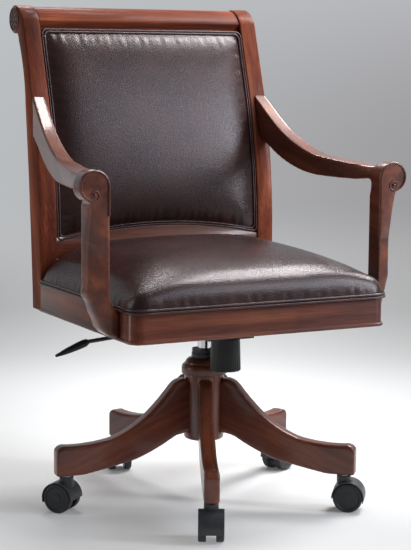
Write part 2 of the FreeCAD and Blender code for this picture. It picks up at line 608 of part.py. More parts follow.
def hood(number):
    """The hood: a fender over both wheels, the web between them and the boss of the stem."""
    name = "caster_%d_hood" % (number + 1)
    side = new_sketch(None, name + "_side", "YZ_Plane")
    middle = hood_rim("((hood_reach - hood_low) / 2)")
    outline(side, [hood_rim("(-hood_low)"), hood_rim("hood_reach") + middle])
    fender = extrude(name + "_fender", side, "wheel_gap + 2 * wheel_wide", both_sides=True)
    hub_disc = rod_along(name + "_web", "x", "web_radius", "web_wide", "-web_wide / 2", "caster_trail",
                         "wheel_radius")
    boss = rod_along(name + "_boss", "z", "boss_radius", "leg_under - socket_lip - socket_gap - stem_low",
                     "0", "0", "stem_low")
    solid = join(name + "_solid", [fender, hub_disc, boss])
    room = "wheel_radius + hood_gap"
    rooms = [
        rod_along(name + "_room_right", "x", room, "overrun", "web_wide / 2", "caster_trail",
                  "wheel_radius"),
        rod_along(name + "_room_left", "x", room, "overrun", "-web_wide / 2 - overrun", "caster_trail",
                  "wheel_radius"),
        rod_along(name + "_axle_way", "x", "axle_radius + fit", "overrun", "-overrun / 2", "caster_trail",
                  "wheel_radius"),
        rod_along(name + "_stem_way", "z", "stem_radius + fit", "overrun", "0", "0", "stem_low")]
    return on_caster(cut(name, solid, join(name + "_ways", rooms)), number, on_axle=False)


def pins(number):
    """The steel stem of the castor and the axle of its wheels."""
    name = "caster_%d_pins" % (number + 1)
    stem = rod_along(name + "_stem", "z", "stem_radius", "stem_top - stem_low", "0", "0", "stem_low")
    axle = rod_along(name + "_axle", "x", "axle_radius", "wheel_gap + 1.7 * wheel_wide",
                     "-(wheel_gap + 1.7 * wheel_wide) / 2", "caster_trail", "wheel_radius")
    return on_caster(gather(name, [stem, axle]), number, on_axle=False)


def wheel(number, side):
    """A wheel turned about X, with a rounded tread, a dished face and a closed hub."""
    body = new_body("caster_%d_wheel_%s" % (number + 1, side))
    inner = "wheel_gap / 2"
    outer = "wheel_gap / 2 + wheel_wide"
    points = [
        (inner, "axle_radius + fit"), (inner, "wheel_radius - 0.1 * wheel_wide"),
        ("%s + 0.1 * wheel_wide" % inner, "wheel_radius",
         "%s + 0.03 * wheel_wide" % inner, "wheel_radius - 0.03 * wheel_wide"),
        ("%s - 0.25 * wheel_wide" % outer, "wheel_radius"),
        (outer, "wheel_radius - 0.25 * wheel_wide",
         "%s - 0.07 * wheel_wide" % outer, "wheel_radius - 0.07 * wheel_wide"),
        (outer, "wheel_radius - wheel_rim"),
        ("%s - wheel_dish / 2" % outer, "wheel_radius - wheel_rim - wheel_dish / 2"),
        ("%s - wheel_dish / 2" % outer, "wheel_hub"),
        ("%s - wheel_dish / 4" % outer, "wheel_hub - wheel_dish / 4"),
        ("%s - wheel_dish / 4" % outer, "0"), ("%s - wheel_dish / 2" % outer, "0"),
        ("%s - wheel_dish / 2" % outer, "axle_radius + fit")]
    feature = revolve(body, outline(new_sketch(body, body.Label + "_profile", "XZ_Plane"), points))
    feature.ReferenceAxis = (feature.Profile[0], ["H_Axis"])
    return on_caster(body, number, half_turn=side == "left")


for leg_number in LEG_NUMBERS:
    parts += [hood(leg_number), pins(leg_number), wheel(leg_number, "left"), wheel(leg_number, "right")]

# Seat plate: pressed steel under the cross rails, with two ears on the pivot pin
plate_solid = join("plate_solid", [
    solid_box("plate_sheet", "-plate_half_width", "plate_half_width", "-plate_half_long", "plate_half_long",
              "frame_bottom - plate_thick / 3", "frame_bottom + 2 * plate_thick / 3"),
    solid_box("plate_ear_left", "-housing_half_width - ear_gap - sheet_thick",
              "-housing_half_width - ear_gap",
              "-pivot_place - ear_half_long", "-pivot_place + ear_half_long",
              "pivot_height - ear_drop", "frame_bottom"),
    solid_box("plate_ear_right", "housing_half_width + ear_gap",
              "housing_half_width + ear_gap + sheet_thick",
              "-pivot_place - ear_half_long", "-pivot_place + ear_half_long",
              "pivot_height - ear_drop", "frame_bottom")])
plate_ways = [rod_along("plate_pin_way", "x", "pivot_radius + fit", "2 * plate_half_width",
                        "-plate_half_width", "-pivot_place", "pivot_height")]
seat_bolts = []
CORNERS = ((-1, -1), (1, -1), (-1, 1), (1, 1))
for number, (side, end) in enumerate(CORNERS):
    x = "%d * plate_bolt_place" % side
    y = "%d * cross_rail_place" % end
    low = "frame_bottom - plate_thick / 3"
    plate_ways.append(rod_along("plate_bolt_way_%d" % number, "z", "plate_bolt / 2 + fit", "overrun", x, y,
                                "pivot_height"))
    seat_bolts.append(join("seat_bolt_%d" % number, [
        rod_along("seat_bolt_head_%d" % number, "z", "plate_bolt_head / 2", "plate_bolt_head_tall",
                  x, y, low + " - plate_bolt_head_tall"),
        rod_along("seat_bolt_shank_%d" % number, "z", "plate_bolt / 2", "plate_bolt_long", x, y, low)]))
parts.append(cut("seat_plate", plate_solid, join("plate_ways", plate_ways)))
parts.append(gather("seat_bolts", seat_bolts))

# Cross rails that carry the plate, with a hole for each of its bolts
rail_inside = "(frame_width / 2 - rail_thick)"
rails = [
    solid_box("cross_rail_front", "-" + rail_inside, rail_inside,
              "-cross_rail_place - cross_rail_thick / 2",
              "-cross_rail_place + cross_rail_thick / 2", "frame_bottom + 2 * plate_thick / 3",
              "frame_bottom + rail_tall - board_thick"),
    solid_box("cross_rail_back", "-" + rail_inside, rail_inside, "cross_rail_place - cross_rail_thick / 2",
              "cross_rail_place + cross_rail_thick / 2", "frame_bottom + 2 * plate_thick / 3",
              "frame_bottom + rail_tall - board_thick")]
for row, rail in enumerate(rails):
    holes = []
    for side in (-1, 1):
        holes.append(rod_along("rail_way_%d_%d" % (row, side + 1), "z", "plate_bolt / 2 + fit",
                               "plate_bolt_long + wood_gap - plate_thick", "%d * plate_bolt_place" % side,
                               "%d * cross_rail_place" % (2 * row - 1),
                               "frame_bottom + 2 * plate_thick / 3"))
    rails[row] = cut("cross_rail_%d" % row, rail, join("rail_ways_%d" % row, holes))
parts.append(gather("cross_rails", rails))

# Seat board that the cushion lies on
parts.append(solid_box("seat_board", "-" + rail_inside, rail_inside, "-frame_front + rail_thick",
                       "post_front",
                       "frame_bottom + rail_tall - board_thick", "frame_bottom + rail_tall"))

# Front rail with round corners and a bead along its lower edge
front_rail = new_body("front_rail")


def front_rail_points(proud):
    half = "frame_width / 2 + %s" % proud
    front = "-frame_front - %s" % proud
    back = "-frame_front + rail_thick"
    return [
        ("-(%s)" % half, back), ("-(%s)" % half, "%s + frame_corner" % front),
        ("-(%s) + frame_corner" % half, front,
         "-(%s) + 0.293 * frame_corner" % half, "%s + 0.293 * frame_corner" % front),
        ("%s - frame_corner" % half, front),
        (half, "%s + frame_corner" % front, "%s - 0.293 * frame_corner" % half,
         "%s + 0.293 * frame_corner" % front),
        (half, back)]


rail_face = outline(new_sketch(front_rail, "front_rail_plan", offset="frame_bottom"),
                    front_rail_points("0"))
pad(front_rail, rail_face, "rail_tall")
rail_bead = outline(new_sketch(front_rail, "front_bead_plan", offset="frame_bottom"),
                    front_rail_points("bead_proud"))
pad(front_rail, rail_bead, "bead_tall")
parts.append(front_rail)


def side_rail(label, side):
    """A side rail from the front rail to the post, with the same bead."""
    body = new_body(label)
    ends = ("-frame_front + rail_thick", "post_front")
    for name, proud, tall in (("rail", "0", "rail_tall"), ("bead", "bead_proud", "bead_tall")):
        across = ("%d * %s" % (side, rail_inside), "%d * (frame_width / 2 + %s)" % (side, proud))
        low, high = across if side > 0 else across[::-1]
        plan = new_sketch(body, "%s_%s_plan" % (label, name), offset="frame_bottom")
        pad(body, outline(plan, box_points(low, high, *ends)), tall)
    return body


parts.append(side_rail("side_rail_left", -1))
parts.append(side_rail("side_rail_right", 1))
post_inside = "(frame_width / 2 - post_width)"
parts.append(solid_box("back_rail", "-" + post_inside, post_inside, "back_rail_place",
                       "back_rail_place + back_rail_thick", "frame_bottom", "frame_bottom + rail_tall"))

# Back posts: sawn boards that sweep back to a roll. Each point is a share of the sweep and of the rise.
POST_FRONT_SHARES = (
    ((0.000, 0.215), None),
    ((0.314, 0.704), (0.079, 0.465)),
    ((0.664, 0.949), None),
    ((1.000, 1.000), (0.785, 0.982)),
)
POST_REAR_SHARES = (
    ((0.839, 0.884), (0.898, 0.906)),
    ((0.577, 0.674), (0.723, 0.829)),
    ((0.318, 0.000), (0.452, 0.419)),
)


def post_spot(share, back="0", down="0"):
    across = "post_front + %.3f * post_sweep + %s" % (share[0], back)
    return across, "frame_bottom + %.3f * (chair_height - frame_bottom) - %s" % (share[1], down)


def along_post(shares, back="0", down="0"):
    points = []
    for spot, middle in shares:
        points.append(post_spot(spot, back, down) + (post_spot(middle, back, down) if middle else ()))
    return points


def roll_points(inset):
    """The roll: from its top round the back to its lowest point."""
    centre = ("post_front + post_sweep", "chair_height - roll_radius")
    return [(centre[0], "chair_height - 2 * roll_radius + %s" % inset,
             "%s + roll_radius - %s" % (centre[0], inset), centre[1])]


def post(label, side):
    body = new_body(label)
    points = [("post_front", "frame_bottom")] + along_post(POST_FRONT_SHARES)
    points += roll_points("0") + along_post(POST_REAR_SHARES)
    side_view = new_sketch(body, label + "_side", "YZ_Plane", "%d * (frame_width - post_width) / 2" % side)
    pad(body, outline(side_view, points), "post_width", both_sides=True)
    return body


posts = [post("post_left", -1), post("post_right", 1)]
parts += posts

# Crest rail: the roll carried across between the posts, with a tongue behind the top of the cushion
crest = new_body("crest_rail")
tongue_share = "(crest_tongue - frame_bottom) / (chair_height - frame_bottom)"
crest_top_low = post_spot((0.664, 0.949), "crest_set_back")
crest_points = [
    crest_top_low,
    post_spot((1.000, 1.000), "0", "crest_set_back")
    + post_spot((0.785, 0.982), "crest_set_back / 2", "crest_set_back"),
] + roll_points("crest_set_back") + [
    ("post_front + 0.839 * post_sweep - crest_set_back", "crest_tongue")
    + post_spot((0.898, 0.906), "-crest_set_back", "-crest_set_back"),
    ("post_front + 0.595 * post_sweep + panel_set_back", "crest_tongue"),
    ("post_front + 0.650 * post_sweep + panel_set_back", "back_top + crest_set_back")]
crest_side = outline(new_sketch(crest, "crest_side", "YZ_Plane"), crest_points)
pad(crest, crest_side, "2 * " + post_inside, both_sides=True)
parts.append(crest)


def arch_points(low_z, rise, half=post_inside):
    """A front view between the posts with an arched top."""
    return [("-" + half, low_z), (half, low_z), (half, "lower_rail_end_top + %s" % rise),
            ("-" + half, "lower_rail_end_top + %s" % rise, "0",
             "lower_rail_end_top + lower_rail_arch + %s" % rise)]


# Lower back rail: its top is arched under the back cushion
lower_rail = new_body("lower_back_rail")
lower_face = outline(new_sketch(lower_rail, "lower_rail_face", "XZ_Plane",
                                "-post_front - lower_rail_set_back"),
                     arch_points("lower_rail_bottom", "0"))
pad(lower_rail, lower_face, "lower_rail_thick", reverse=True)
parts.append(lower_rail)


def arch_room(name, rise):
    """What the arch of the lower back rail takes from the things above it."""
    face = outline(new_sketch(None, name + "_face", "XZ_Plane"),
                   arch_points("lower_rail_bottom", rise, "frame_width / 2"))
    return bind(extrude(name, face, "overrun"), LengthRev="chair_height")


# Back panel: the board behind the cushion, covered in leather, between the two rails and the posts
panel = extrude("back_panel_blank", outline(new_sketch(None, "back_panel_side", "YZ_Plane"), [
    ("post_front + panel_set_back", "lower_rail_end_top"),
    post_spot((0.314, 0.704), "panel_set_back") + post_spot((0.084, 0.465), "panel_set_back"),
    ("post_front + 0.595 * post_sweep + panel_set_back", "crest_tongue - cushion_gap"),
    ("post_front + 0.595 * post_sweep + panel_set_back + panel_thick", "crest_tongue - cushion_gap"),
    post_spot((0.314, 0.704), "panel_set_back + panel_thick"),
    ("post_front + panel_set_back + panel_thick", "lower_rail_end_top")
    + post_spot((0.084, 0.465), "panel_set_back + panel_thick")]), "2 * %s - 2 * cushion_gap" % post_inside,
    both_sides=True)
parts.append(cut("back_panel", panel, arch_room("back_panel_arch", "cushion_gap")))

# Back cushion: level sections with a crown, lofted up the sweep of the posts.
# Each entry is the share of the rise, of the sweep and of the crown at that height.
BACK_SHARES = (
    (0.2445, 0.000, 0.25), (0.2813, 0.003, 0.70), (0.3570, 0.020, 0.95), (0.5030, 0.082, 1.00),
    (0.6382, 0.183, 1.00), (0.7615, 0.314, 1.00), (0.8762, 0.466, 0.95), (0.9519, 0.566, 0.80),
    (0.9865, 0.611, 0.45), (1.0000, 0.628, 0.00),
)
back_sections = []
for number, (rise_share, sweep_share, crown_share) in enumerate(BACK_SHARES):
    level = "frame_bottom + %.4f * (back_top - frame_bottom)" % rise_share
    front = "post_front + %.3f * post_sweep" % sweep_share
    half = "(%s - cushion_gap - %.2f * back_edge)" % (post_inside, 1 - crown_share)
    section = new_sketch(None, "back_section_%d" % number, "XY_Plane", level)
    back_sections.append(outline(section, [
        ("-" + half, front + " + panel_set_back - cushion_gap"),
        (half, front + " + panel_set_back - cushion_gap"),
        (half, front + " + back_edge"),
        ("-" + half, front + " + back_edge", "0", front + " - %.2f * back_crown" % crown_share)]))
back_loft = doc.addObject("Part::Loft", "back_loft")
back_loft.Sections = back_sections
back_loft.Solid = True
parts.append(cut("back_cushion", back_loft, arch_room("back_cushion_arch", "cushion_gap")))

# Seat cushion: sections with drawn-in sides, round shoulders and a crown, lofted from front to back.
# Each entry is the share of the depth, of the corner taken off each side, and of the height.
SEAT_SHARES = (
    (0.000, 1.00, 0.33), (0.012, 0.60, 0.52), (0.035, 0.28, 0.66), (0.080, 0.05, 0.77), (0.160, 0.00, 0.84),
    (0.400, 0.00, 0.95), (0.700, 0.00, 1.00), (0.920, 0.00, 0.99), (1.000, 0.10, 0.93),
)
seat_sections = []
for number, (deep_share, corner_share, tall_share) in enumerate(SEAT_SHARES):
    span = "frame_front + cushion_front + post_front - cushion_overhang"
    back = "-frame_front - cushion_front + %.3f * (%s)" % (deep_share, span)
    half = "(frame_width / 2 + cushion_overhang - %.2f * cushion_corner)" % corner_share
    low = "frame_bottom + rail_tall + cushion_gap"
    side_top = "%s + %.2f * cushion_tall" % (low, 0.62 * tall_share)
    shoulder = "%s + %.2f * cushion_tall" % (low, tall_share)
    section = new_sketch(None, "seat_section_%d" % number, "XZ_Plane", back)
    seat_sections.append(outline(section, [
        ("-" + half, low), (half, low), (half + " - cushion_draw", side_top),
        (half + " - cushion_shoulder", shoulder,
         half + " - cushion_draw - 0.25 * cushion_shoulder",
         "%s + %.3f * cushion_tall" % (low, 0.885 * tall_share)),
        ("-(%s - cushion_shoulder)" % half, shoulder, "0",
         shoulder + " + %.2f * cushion_crown" % tall_share),
        ("-(%s - cushion_draw)" % half, side_top, "-(%s - cushion_draw - 0.25 * cushion_shoulder)" % half,
         "%s + %.3f * cushion_tall" % (low, 0.885 * tall_share))]))
seat_loft = doc.addObject("Part::Loft", "seat_cushion")
seat_loft.Sections = seat_sections
seat_loft.Solid = True
parts.append(seat_loft)

# Arms: sawn in side view and in plan, and cut to the front of the post.
# Each point is a share of the arm's length and of its rise.
ARM_TOP_SHARES = (((0.444, 0.090), (0.217, 0.030)), ((0.848, 0.640), (0.672, 0.320)),
                  ((1.020, 1.030), None))
ARM_LOW_SHARES = (((0.848, 0.370), None), ((0.419, -0.015), (0.646, 0.100)),
                  ((0.000, 0.000), (0.217, -0.022)))
arm_front = "(-support_front + support_deep)"
arm_low = "(scroll_height - 0.24 * scroll_radius)"
arm_long = "(post_front + 0.330 * post_sweep - %s)" % arm_front


def arm_spot(share, above="0"):
    along = "%s + %.3f * %s" % (arm_front, share[0], arm_long)
    return along, "%s + %.3f * arm_rise + %s" % (arm_low, share[1], above)


def arm(side, label):
    """One arm; side is 1 for the right and -1 for the left."""
    points = [(arm_front, arm_low), (arm_front, arm_low + " + arm_thick")]
    for spot, middle in ARM_TOP_SHARES:
        points.append(arm_spot(spot, "arm_thick") + (arm_spot(middle, "arm_thick") if middle else ()))
    points.append(arm_spot((1.020, 0.640)))
    for spot, middle in ARM_LOW_SHARES[:-1]:
        points.append(arm_spot(spot) + (arm_spot(middle) if middle else ()))
    points[0] = arm_spot((0.000, 0.000)) + arm_spot(ARM_LOW_SHARES[-1][1])
    side_view = extrude(label + "_side_blank",
                        outline(new_sketch(None, label + "_side", "YZ_Plane"), points),
                        "2 * frame_width", both_sides=True)
    sign = "%d * " % side
    far = "%s + 1.030 * %s" % (arm_front, arm_long)
    plan = outline(new_sketch(None, label + "_plan"), [
        (sign + "support_inside", arm_front), (sign + "arm_rear_inside", far),
        (sign + "(arm_rear_inside + arm_rear_width)", far),
        (sign + "(support_inside + arm_front_width)", arm_front,
         sign + "(arm_mid_inside + arm_mid_width)", "arm_mid")])
    plan_view = extrude(label + "_plan_blank", plan, "chair_height")
    blank = keep_common(label + "_blank", [side_view, plan_view])
    return cut(label, blank, posts[0] if side < 0 else posts[1])


parts.append(arm(-1, "arm_left"))
parts.append(arm(1, "arm_right"))

# Arm supports: sawn in front view with a scroll at the top and a foot against the side rail.
# The foot's outer curve: a share of the thickness beyond the inner face, and of the foot's height.
foot_low = "(frame_bottom + bead_tall + wood_gap)"
foot_tall = "(foot_top - %s)" % foot_low
FOOT_SHARES = (
    ((1.000, 1.000), None),
    ((0.857, 0.720), (1.030, 0.850)),
    ((0.520, 0.340), (0.720, 0.520)),
    ((-0.340, 0.000), (0.130, 0.070)),
)


def foot_spot(share):
    across = "support_inside + %.3f * support_thick" % share[0]
    return across, "%s + %.3f * %s" % (foot_low, share[1], foot_tall)


def support(label, side):
    """An arm support; side is 1 for the right and -1 for the left."""
    scroll_x = "support_inside + scroll_radius"
    scroll_low = "scroll_height - 0.966 * scroll_radius"
    board_top = "frame_bottom + rail_tall"
    points = [("support_inside", "scroll_height"), ("support_inside + support_thick", "scroll_height")]
    for spot, middle in FOOT_SHARES:
        points.append(foot_spot(spot) + (foot_spot(middle) if middle else ()))
    points += [
        ("frame_width / 2 + wood_gap", foot_low),
        ("frame_width / 2 + wood_gap", board_top + " - foot_step"),
        ("frame_width / 2 + cushion_overhang + cushion_gap", board_top),
        ("support_inside", "foot_top - 0.05 * %s" % foot_tall,
         "support_inside - 0.42 * (support_inside - frame_width / 2)",
         board_top + " + 0.18 * (foot_top - frame_bottom - rail_tall)")]
    mirrored = [tuple(("%d * (%s)" % (side, text) if place_in % 2 == 0 else text)
                      for place_in, text in enumerate(point)) for point in points]
    face = outline(new_sketch(None, label + "_face", "XZ_Plane", "-support_front"), mirrored)
    board = bind(extrude(label + "_board", face, "0"), LengthRev="2 * support_deep")
    outer = "support_inside + 1.1 * support_thick"
    front_low = "-support_front + 1.1 * support_slant"
    rear = "-support_front + support_deep"
    inner = "frame_width / 2"
    plan_points = [(inner, "-support_front - 0.49 * support_slant"), (outer, front_low),
                   (outer, rear + " + 1.1 * support_rear_slant"), ("support_inside", rear), (inner, rear)]
    mirrored_plan = [("%d * (%s)" % (side, x), y) for x, y in plan_points]
    plan = extrude(label + "_plan_blank", outline(new_sketch(None, label + "_plan"), mirrored_plan),
                   "chair_height")
    stem = cut(label + "_stem", keep_common(label + "_sawn", [board, plan]),
               solid_box(label + "_above", "-frame_width", "frame_width", "-2 * frame_front", "frame_front",
                         scroll_low, "chair_height"))
    disc = rod_along(label + "_disc", "y", "scroll_radius", "support_deep", "%d * (%s)" % (side, scroll_x),
                     "-support_front", "scroll_height")
    low_x, high_x = ("support_inside", scroll_x) if side > 0 else ("-(%s)" % scroll_x, "-support_inside")
    block = solid_box(label + "_block", low_x, high_x, "-support_front", rear, scroll_low, "scroll_height")
    return join(label, [stem, disc, block])


parts.append(support("arm_support_left", -1))
parts.append(support("arm_support_right", 1))

doc.recompute()

# Check every object, then write one file for each sub-part.
failed = [item.Name for item in doc.Objects if "Invalid" in item.State or "Error" in item.State]
if failed:
    raise RuntimeError("not built: " + ", ".join(failed))
os.makedirs("parts", exist_ok=True)
bad = [item.Label for item in parts
       if item.Shape.isNull() or not item.Shape.isValid() or not item.Shape.Solids]
if bad:
    raise RuntimeError("bad shape: " + ", ".join(bad))
for item in parts:
    item.Shape.exportStep("parts/%s.step" % item.Label)
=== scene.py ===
from math import cos, exp, pi, radians, sin

import bmesh
import bpy
from mathutils import Matrix, Quaternion, Vector
from mathutils.bvhtree import BVHTree


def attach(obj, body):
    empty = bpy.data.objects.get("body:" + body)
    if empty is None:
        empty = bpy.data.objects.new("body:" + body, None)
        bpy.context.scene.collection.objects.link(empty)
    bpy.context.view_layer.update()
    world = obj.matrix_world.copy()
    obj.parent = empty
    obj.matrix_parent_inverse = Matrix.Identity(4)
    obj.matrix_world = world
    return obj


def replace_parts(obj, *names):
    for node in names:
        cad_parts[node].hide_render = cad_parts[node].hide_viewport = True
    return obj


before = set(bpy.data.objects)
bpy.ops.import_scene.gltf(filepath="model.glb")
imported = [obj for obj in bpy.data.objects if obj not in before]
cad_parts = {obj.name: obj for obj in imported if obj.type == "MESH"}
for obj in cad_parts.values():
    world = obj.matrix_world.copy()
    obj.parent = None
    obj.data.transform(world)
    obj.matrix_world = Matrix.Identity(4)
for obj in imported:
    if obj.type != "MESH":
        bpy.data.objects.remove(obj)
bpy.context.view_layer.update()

# Studio: a pale floor that sweeps up behind the chair into a light grey wall, soft lamps, and the
# camera of the photograph, a little above seat height and to the left of the front.
CAMERA_SIDE = radians(-27.529)
CAMERA_RISE = radians(7.671)
CAMERA_ROLL = radians(0.479)
CAMERA_AWAY = 3.2843
CAMERA_LENS = 107.0
CAMERA_SENSOR = 36
LOOKED_AT = Vector((0.001, 0.0, 0.4608))
ACROSS = Vector((cos(CAMERA_SIDE), sin(CAMERA_SIDE), 0))
AWAY = Vector((-sin(CAMERA_SIDE), cos(CAMERA_SIDE), 0))
FLOOR_HALF = 5.0
FLOOR_NEAR = -4.5
FLOOR_FAR = 1.5
WALL_CURVE = 1.6
WALL_TALL = 2.5
LAMPS_AIMED_AT = Vector((0, 0, 0.5))


def node_of(tree, kind, inputs=None, **settings):
    """Add a shader node; an input is a value or another node's output."""
    made = tree.nodes.new(kind)
    for name, setting in settings.items():
        setattr(made, name, setting)
    for name, given in (inputs or {}).items():
        if isinstance(given, bpy.types.NodeSocket):
            tree.links.new(given, made.inputs[name])
        else:
            made.inputs[name].default_value = given
    return made


def ranged(tree, given, low, high, to_low, to_high, kind="LINEAR"):
    """Carry a value from one range to another."""
    return node_of(tree, "ShaderNodeMapRange", {
        "Value": given, "From Min": low, "From Max": high, "To Min": to_low, "To Max": to_high},
        interpolation_type=kind).outputs["Result"]


def reckoned(tree, operation, first, second):
    """Work out one number from two."""
    return node_of(tree, "ShaderNodeMath", {0: first, 1: second}, operation=operation).outputs[0]


def mixed_paint(tree, share, first, second):
    """Mix two colours; share is how much of the second."""
    return node_of(tree, "ShaderNodeMix", {"Factor": share, 6: first, 7: second},
                   data_type="RGBA").outputs[2]


def studio_paint():
    """Near-white floor that fades up into a grey wall.

    Painted shade makes the floor's paint dimmer in front, far behind and to the right, and a
    painted shadow band darkens it behind on the left. The wall's paint is painted shade too,
    darker low down on the right and lighter high up. To the camera and in reflections the wall
    shows its own colour, whatever light falls on it, and so does a share of the floor.
    """
    material = bpy.data.materials.new("studio_paint")
    material.use_nodes = True
    tree = material.node_tree
    tree.nodes.clear()
    spot = node_of(tree, "ShaderNodeNewGeometry").outputs["Position"]
    across = node_of(tree, "ShaderNodeVectorMath", {0: spot, 1: ACROSS},
                     operation="DOT_PRODUCT").outputs["Value"]
    away = node_of(tree, "ShaderNodeVectorMath", {0: spot, 1: AWAY},
                   operation="DOT_PRODUCT").outputs["Value"]
    height = node_of(tree, "ShaderNodeSeparateXYZ", {"Vector": spot}).outputs["Z"]
    rise = ranged(tree, height, 0.0, 0.40, 0.0, 1.0, "SMOOTHSTEP")
    side = ranged(tree, across, -0.7, 0.9, 0.0, 1.0)
    top = ranged(tree, height, 0.5, 1.5, 0.0, 1.0, "SMOOTHSTEP")
    # Painted shade: the wall is darker low down on the right and lighter high up.
    low_wall = mixed_paint(tree, side, (0.48, 0.495, 0.51, 1), (0.325, 0.318, 0.330, 1))
    high_wall = mixed_paint(tree, side, (0.53, 0.56, 0.58, 1), (0.53, 0.535, 0.565, 1))
    wall = mixed_paint(tree, top, low_wall, high_wall)
    paint = mixed_paint(tree, rise, (0.82, 0.82, 0.82, 1), wall)
    # Painted shade: the floor's paint is dimmer in front, far behind and to the right, and a
    # painted shadow band lies behind it on the left.
    painted_shade_front = ranged(tree, away, -1.3, -0.5, 0.50, 1.0, "SMOOTHSTEP")
    painted_shade_back = ranged(tree, away, 0.9, 2.2, 1.0, 0.6, "SMOOTHSTEP")
    painted_shade_right = ranged(tree, across, -0.3, 0.9, 1.0, 0.55, "SMOOTHSTEP")
    left = ranged(tree, across, -0.9, 0.1, 0.30, 0.0, "SMOOTHSTEP")
    behind = ranged(tree, away, -0.1, 0.4, 0.0, 1.0, "SMOOTHSTEP")
    painted_shadow_band = reckoned(tree, "SUBTRACT", 1.0, reckoned(tree, "MULTIPLY", left, behind))
    painted_shade = painted_shade_front
    for other in (painted_shade_back, painted_shade_right, painted_shadow_band):
        painted_shade = reckoned(tree, "MULTIPLY", painted_shade, other)
    paint_with_painted_shade = node_of(tree, "ShaderNodeVectorMath", {0: paint, "Scale": painted_shade}, operation="SCALE")
    matt = node_of(tree, "ShaderNodeBsdfDiffuse", {"Color": paint_with_painted_shade.outputs["Vector"]})
    glow = node_of(tree, "ShaderNodeEmission", {"Color": paint, "Strength": 1.0})
    rays = node_of(tree, "ShaderNodeLightPath").outputs
    mirrored = reckoned(tree, "MAXIMUM", rays["Is Glossy Ray"], rays["Is Transmission Ray"])
    seen = reckoned(tree, "MAXIMUM", rays["Is Camera Ray"], mirrored)
    near = ranged(tree, away, -0.45, 0.0, 0.42, 0.09, "SMOOTHSTEP")
    amount = reckoned(tree, "MULTIPLY", seen, reckoned(tree, "MAXIMUM", rise, near))
    both = node_of(tree, "ShaderNodeMixShader", {0: amount, 1: matt.outputs[0], 2: glow.outputs[0]})
    open_back = node_of(tree, "ShaderNodeMixShader", {
        0: node_of(tree, "ShaderNodeNewGeometry").outputs["Backfacing"], 1: both.outputs[0],
        2: node_of(tree, "ShaderNodeBsdfTransparent").outputs[0]})
    node_of(tree, "ShaderNodeOutputMaterial", {"Surface": open_back.outputs[0]})
    return material


sweep = bmesh.new()
ends = [sweep.verts.new((x, FLOOR_NEAR, 0.0)) for x in (-FLOOR_HALF, FLOOR_HALF)]
last = [sweep.edges.new(ends)]
for shift in ((0, FLOOR_FAR - FLOOR_NEAR, 0), None, (0, 0, WALL_TALL)):
    if shift is None:
        grown = bmesh.ops.spin(sweep, geom=last, cent=(0, FLOOR_FAR, WALL_CURVE), axis=(1, 0, 0),
                               angle=pi / 2, steps=24, use_merge=False)["geom_last"]
    else:
        grown = bmesh.ops.extrude_edge_only(sweep, edges=last)["geom"]
        moved = [part for part in grown if isinstance(part, bmesh.types.BMVert)]
        bmesh.ops.translate(sweep, vec=shift, verts=moved)
    last = [part for part in grown if isinstance(part, bmesh.types.BMEdge)]
bmesh.ops.rotate(sweep, cent=(0, 0, 0), matrix=Matrix.Rotation(CAMERA_SIDE, 3, "Z"),
                 verts=sweep.verts)
bmesh.ops.recalc_face_normals(sweep, faces=sweep.faces)
bmesh.ops.reverse_faces(sweep, faces=sweep.faces)
floor_mesh = bpy.data.meshes.new("studio_floor")
sweep.to_mesh(floor_mesh)
sweep.free()
floor_mesh.shade_smooth()
floor = bpy.data.objects.new("studio_floor", floor_mesh)
bpy.context.scene.collection.objects.link(floor)
floor_mesh.materials.append(studio_paint())

towards = Vector((sin(CAMERA_SIDE) * cos(CAMERA_RISE), -cos(CAMERA_SIDE) * cos(CAMERA_RISE),
                  sin(CAMERA_RISE)))
camera = bpy.data.objects.new("camera", bpy.data.cameras.new("camera"))
bpy.context.scene.collection.objects.link(camera)
camera.data.sensor_width = CAMERA_SENSOR
camera.data.lens = CAMERA_LENS
camera.location = LOOKED_AT + towards * CAMERA_AWAY
camera.rotation_mode = "QUATERNION"
camera.rotation_quaternion = towards.to_track_quat("Z", "Y") @ Quaternion((0, 0, 1), CAMERA_ROLL)
bpy.context.scene.camera = camera


def softbox(name, right, forward, height, wide, tall, power, colour=(1.0, 1.0, 1.0)):
    """A soft lamp aimed at the seat.

    It is placed as the camera sees it: to its right, towards the wall, and up from the floor.
    """
    lamp = bpy.data.objects.new(name, bpy.data.lights.new(name, "AREA"))
    lamp.data.shape = "RECTANGLE"
    lamp.data.size = wide
    lamp.data.size_y = tall
    lamp.data.energy = power
    lamp.data.color = colour
    lamp.location = ACROSS * right + AWAY * forward + Vector((0, 0, height))
    lamp.rotation_mode = "QUATERNION"
    lamp.rotation_quaternion = (lamp.location - LAMPS_AIMED_AT).to_track_quat("Z", "Y")
    bpy.context.scene.collection.objects.link(lamp)


softbox("lamp_top", 0.93, 0.55, 2.44, 0.6, 0.9, 38)
softbox("lamp_spot", 0.06, 0.72, 2.44, 0.30, 0.30, 6)
softbox("lamp_strip", 2.2, -0.45, 1.30, 0.3, 1.2, 32, (0.86, 0.93, 1.0))
softbox("lamp_window", 1.8, -1.27, 1.90, 1.2, 0.8, 15, (0.84, 0.91, 1.0))
softbox("lamp_back", -0.50, 1.85, 2.44, 0.55, 0.45, 18)
softbox("lamp_rear", 1.5, 1.5, 2.4, 1.2, 0.7, 62)
softbox("lamp_left", -2.4, -0.3, 1.2, 0.8, 1.8, 11)
world = bpy.data.worlds.new("studio_air")
bpy.context.scene.world = world
world.use_nodes = True
air = world.node_tree.nodes["Background"]
air.inputs["Color"].default_value = (0.95, 0.97, 1.0, 1)
air.inputs["Strength"].default_value = 0.12
bpy.context.scene.view_settings.view_transform = "Standard"

# Hub: a turned column of stained and lacquered hardwood, with a turned cap that hides the roots of
# the legs. The lacquer has a satin shine.
HUB_EDGE = 0.0012
CAP_EDGE = 0.0008


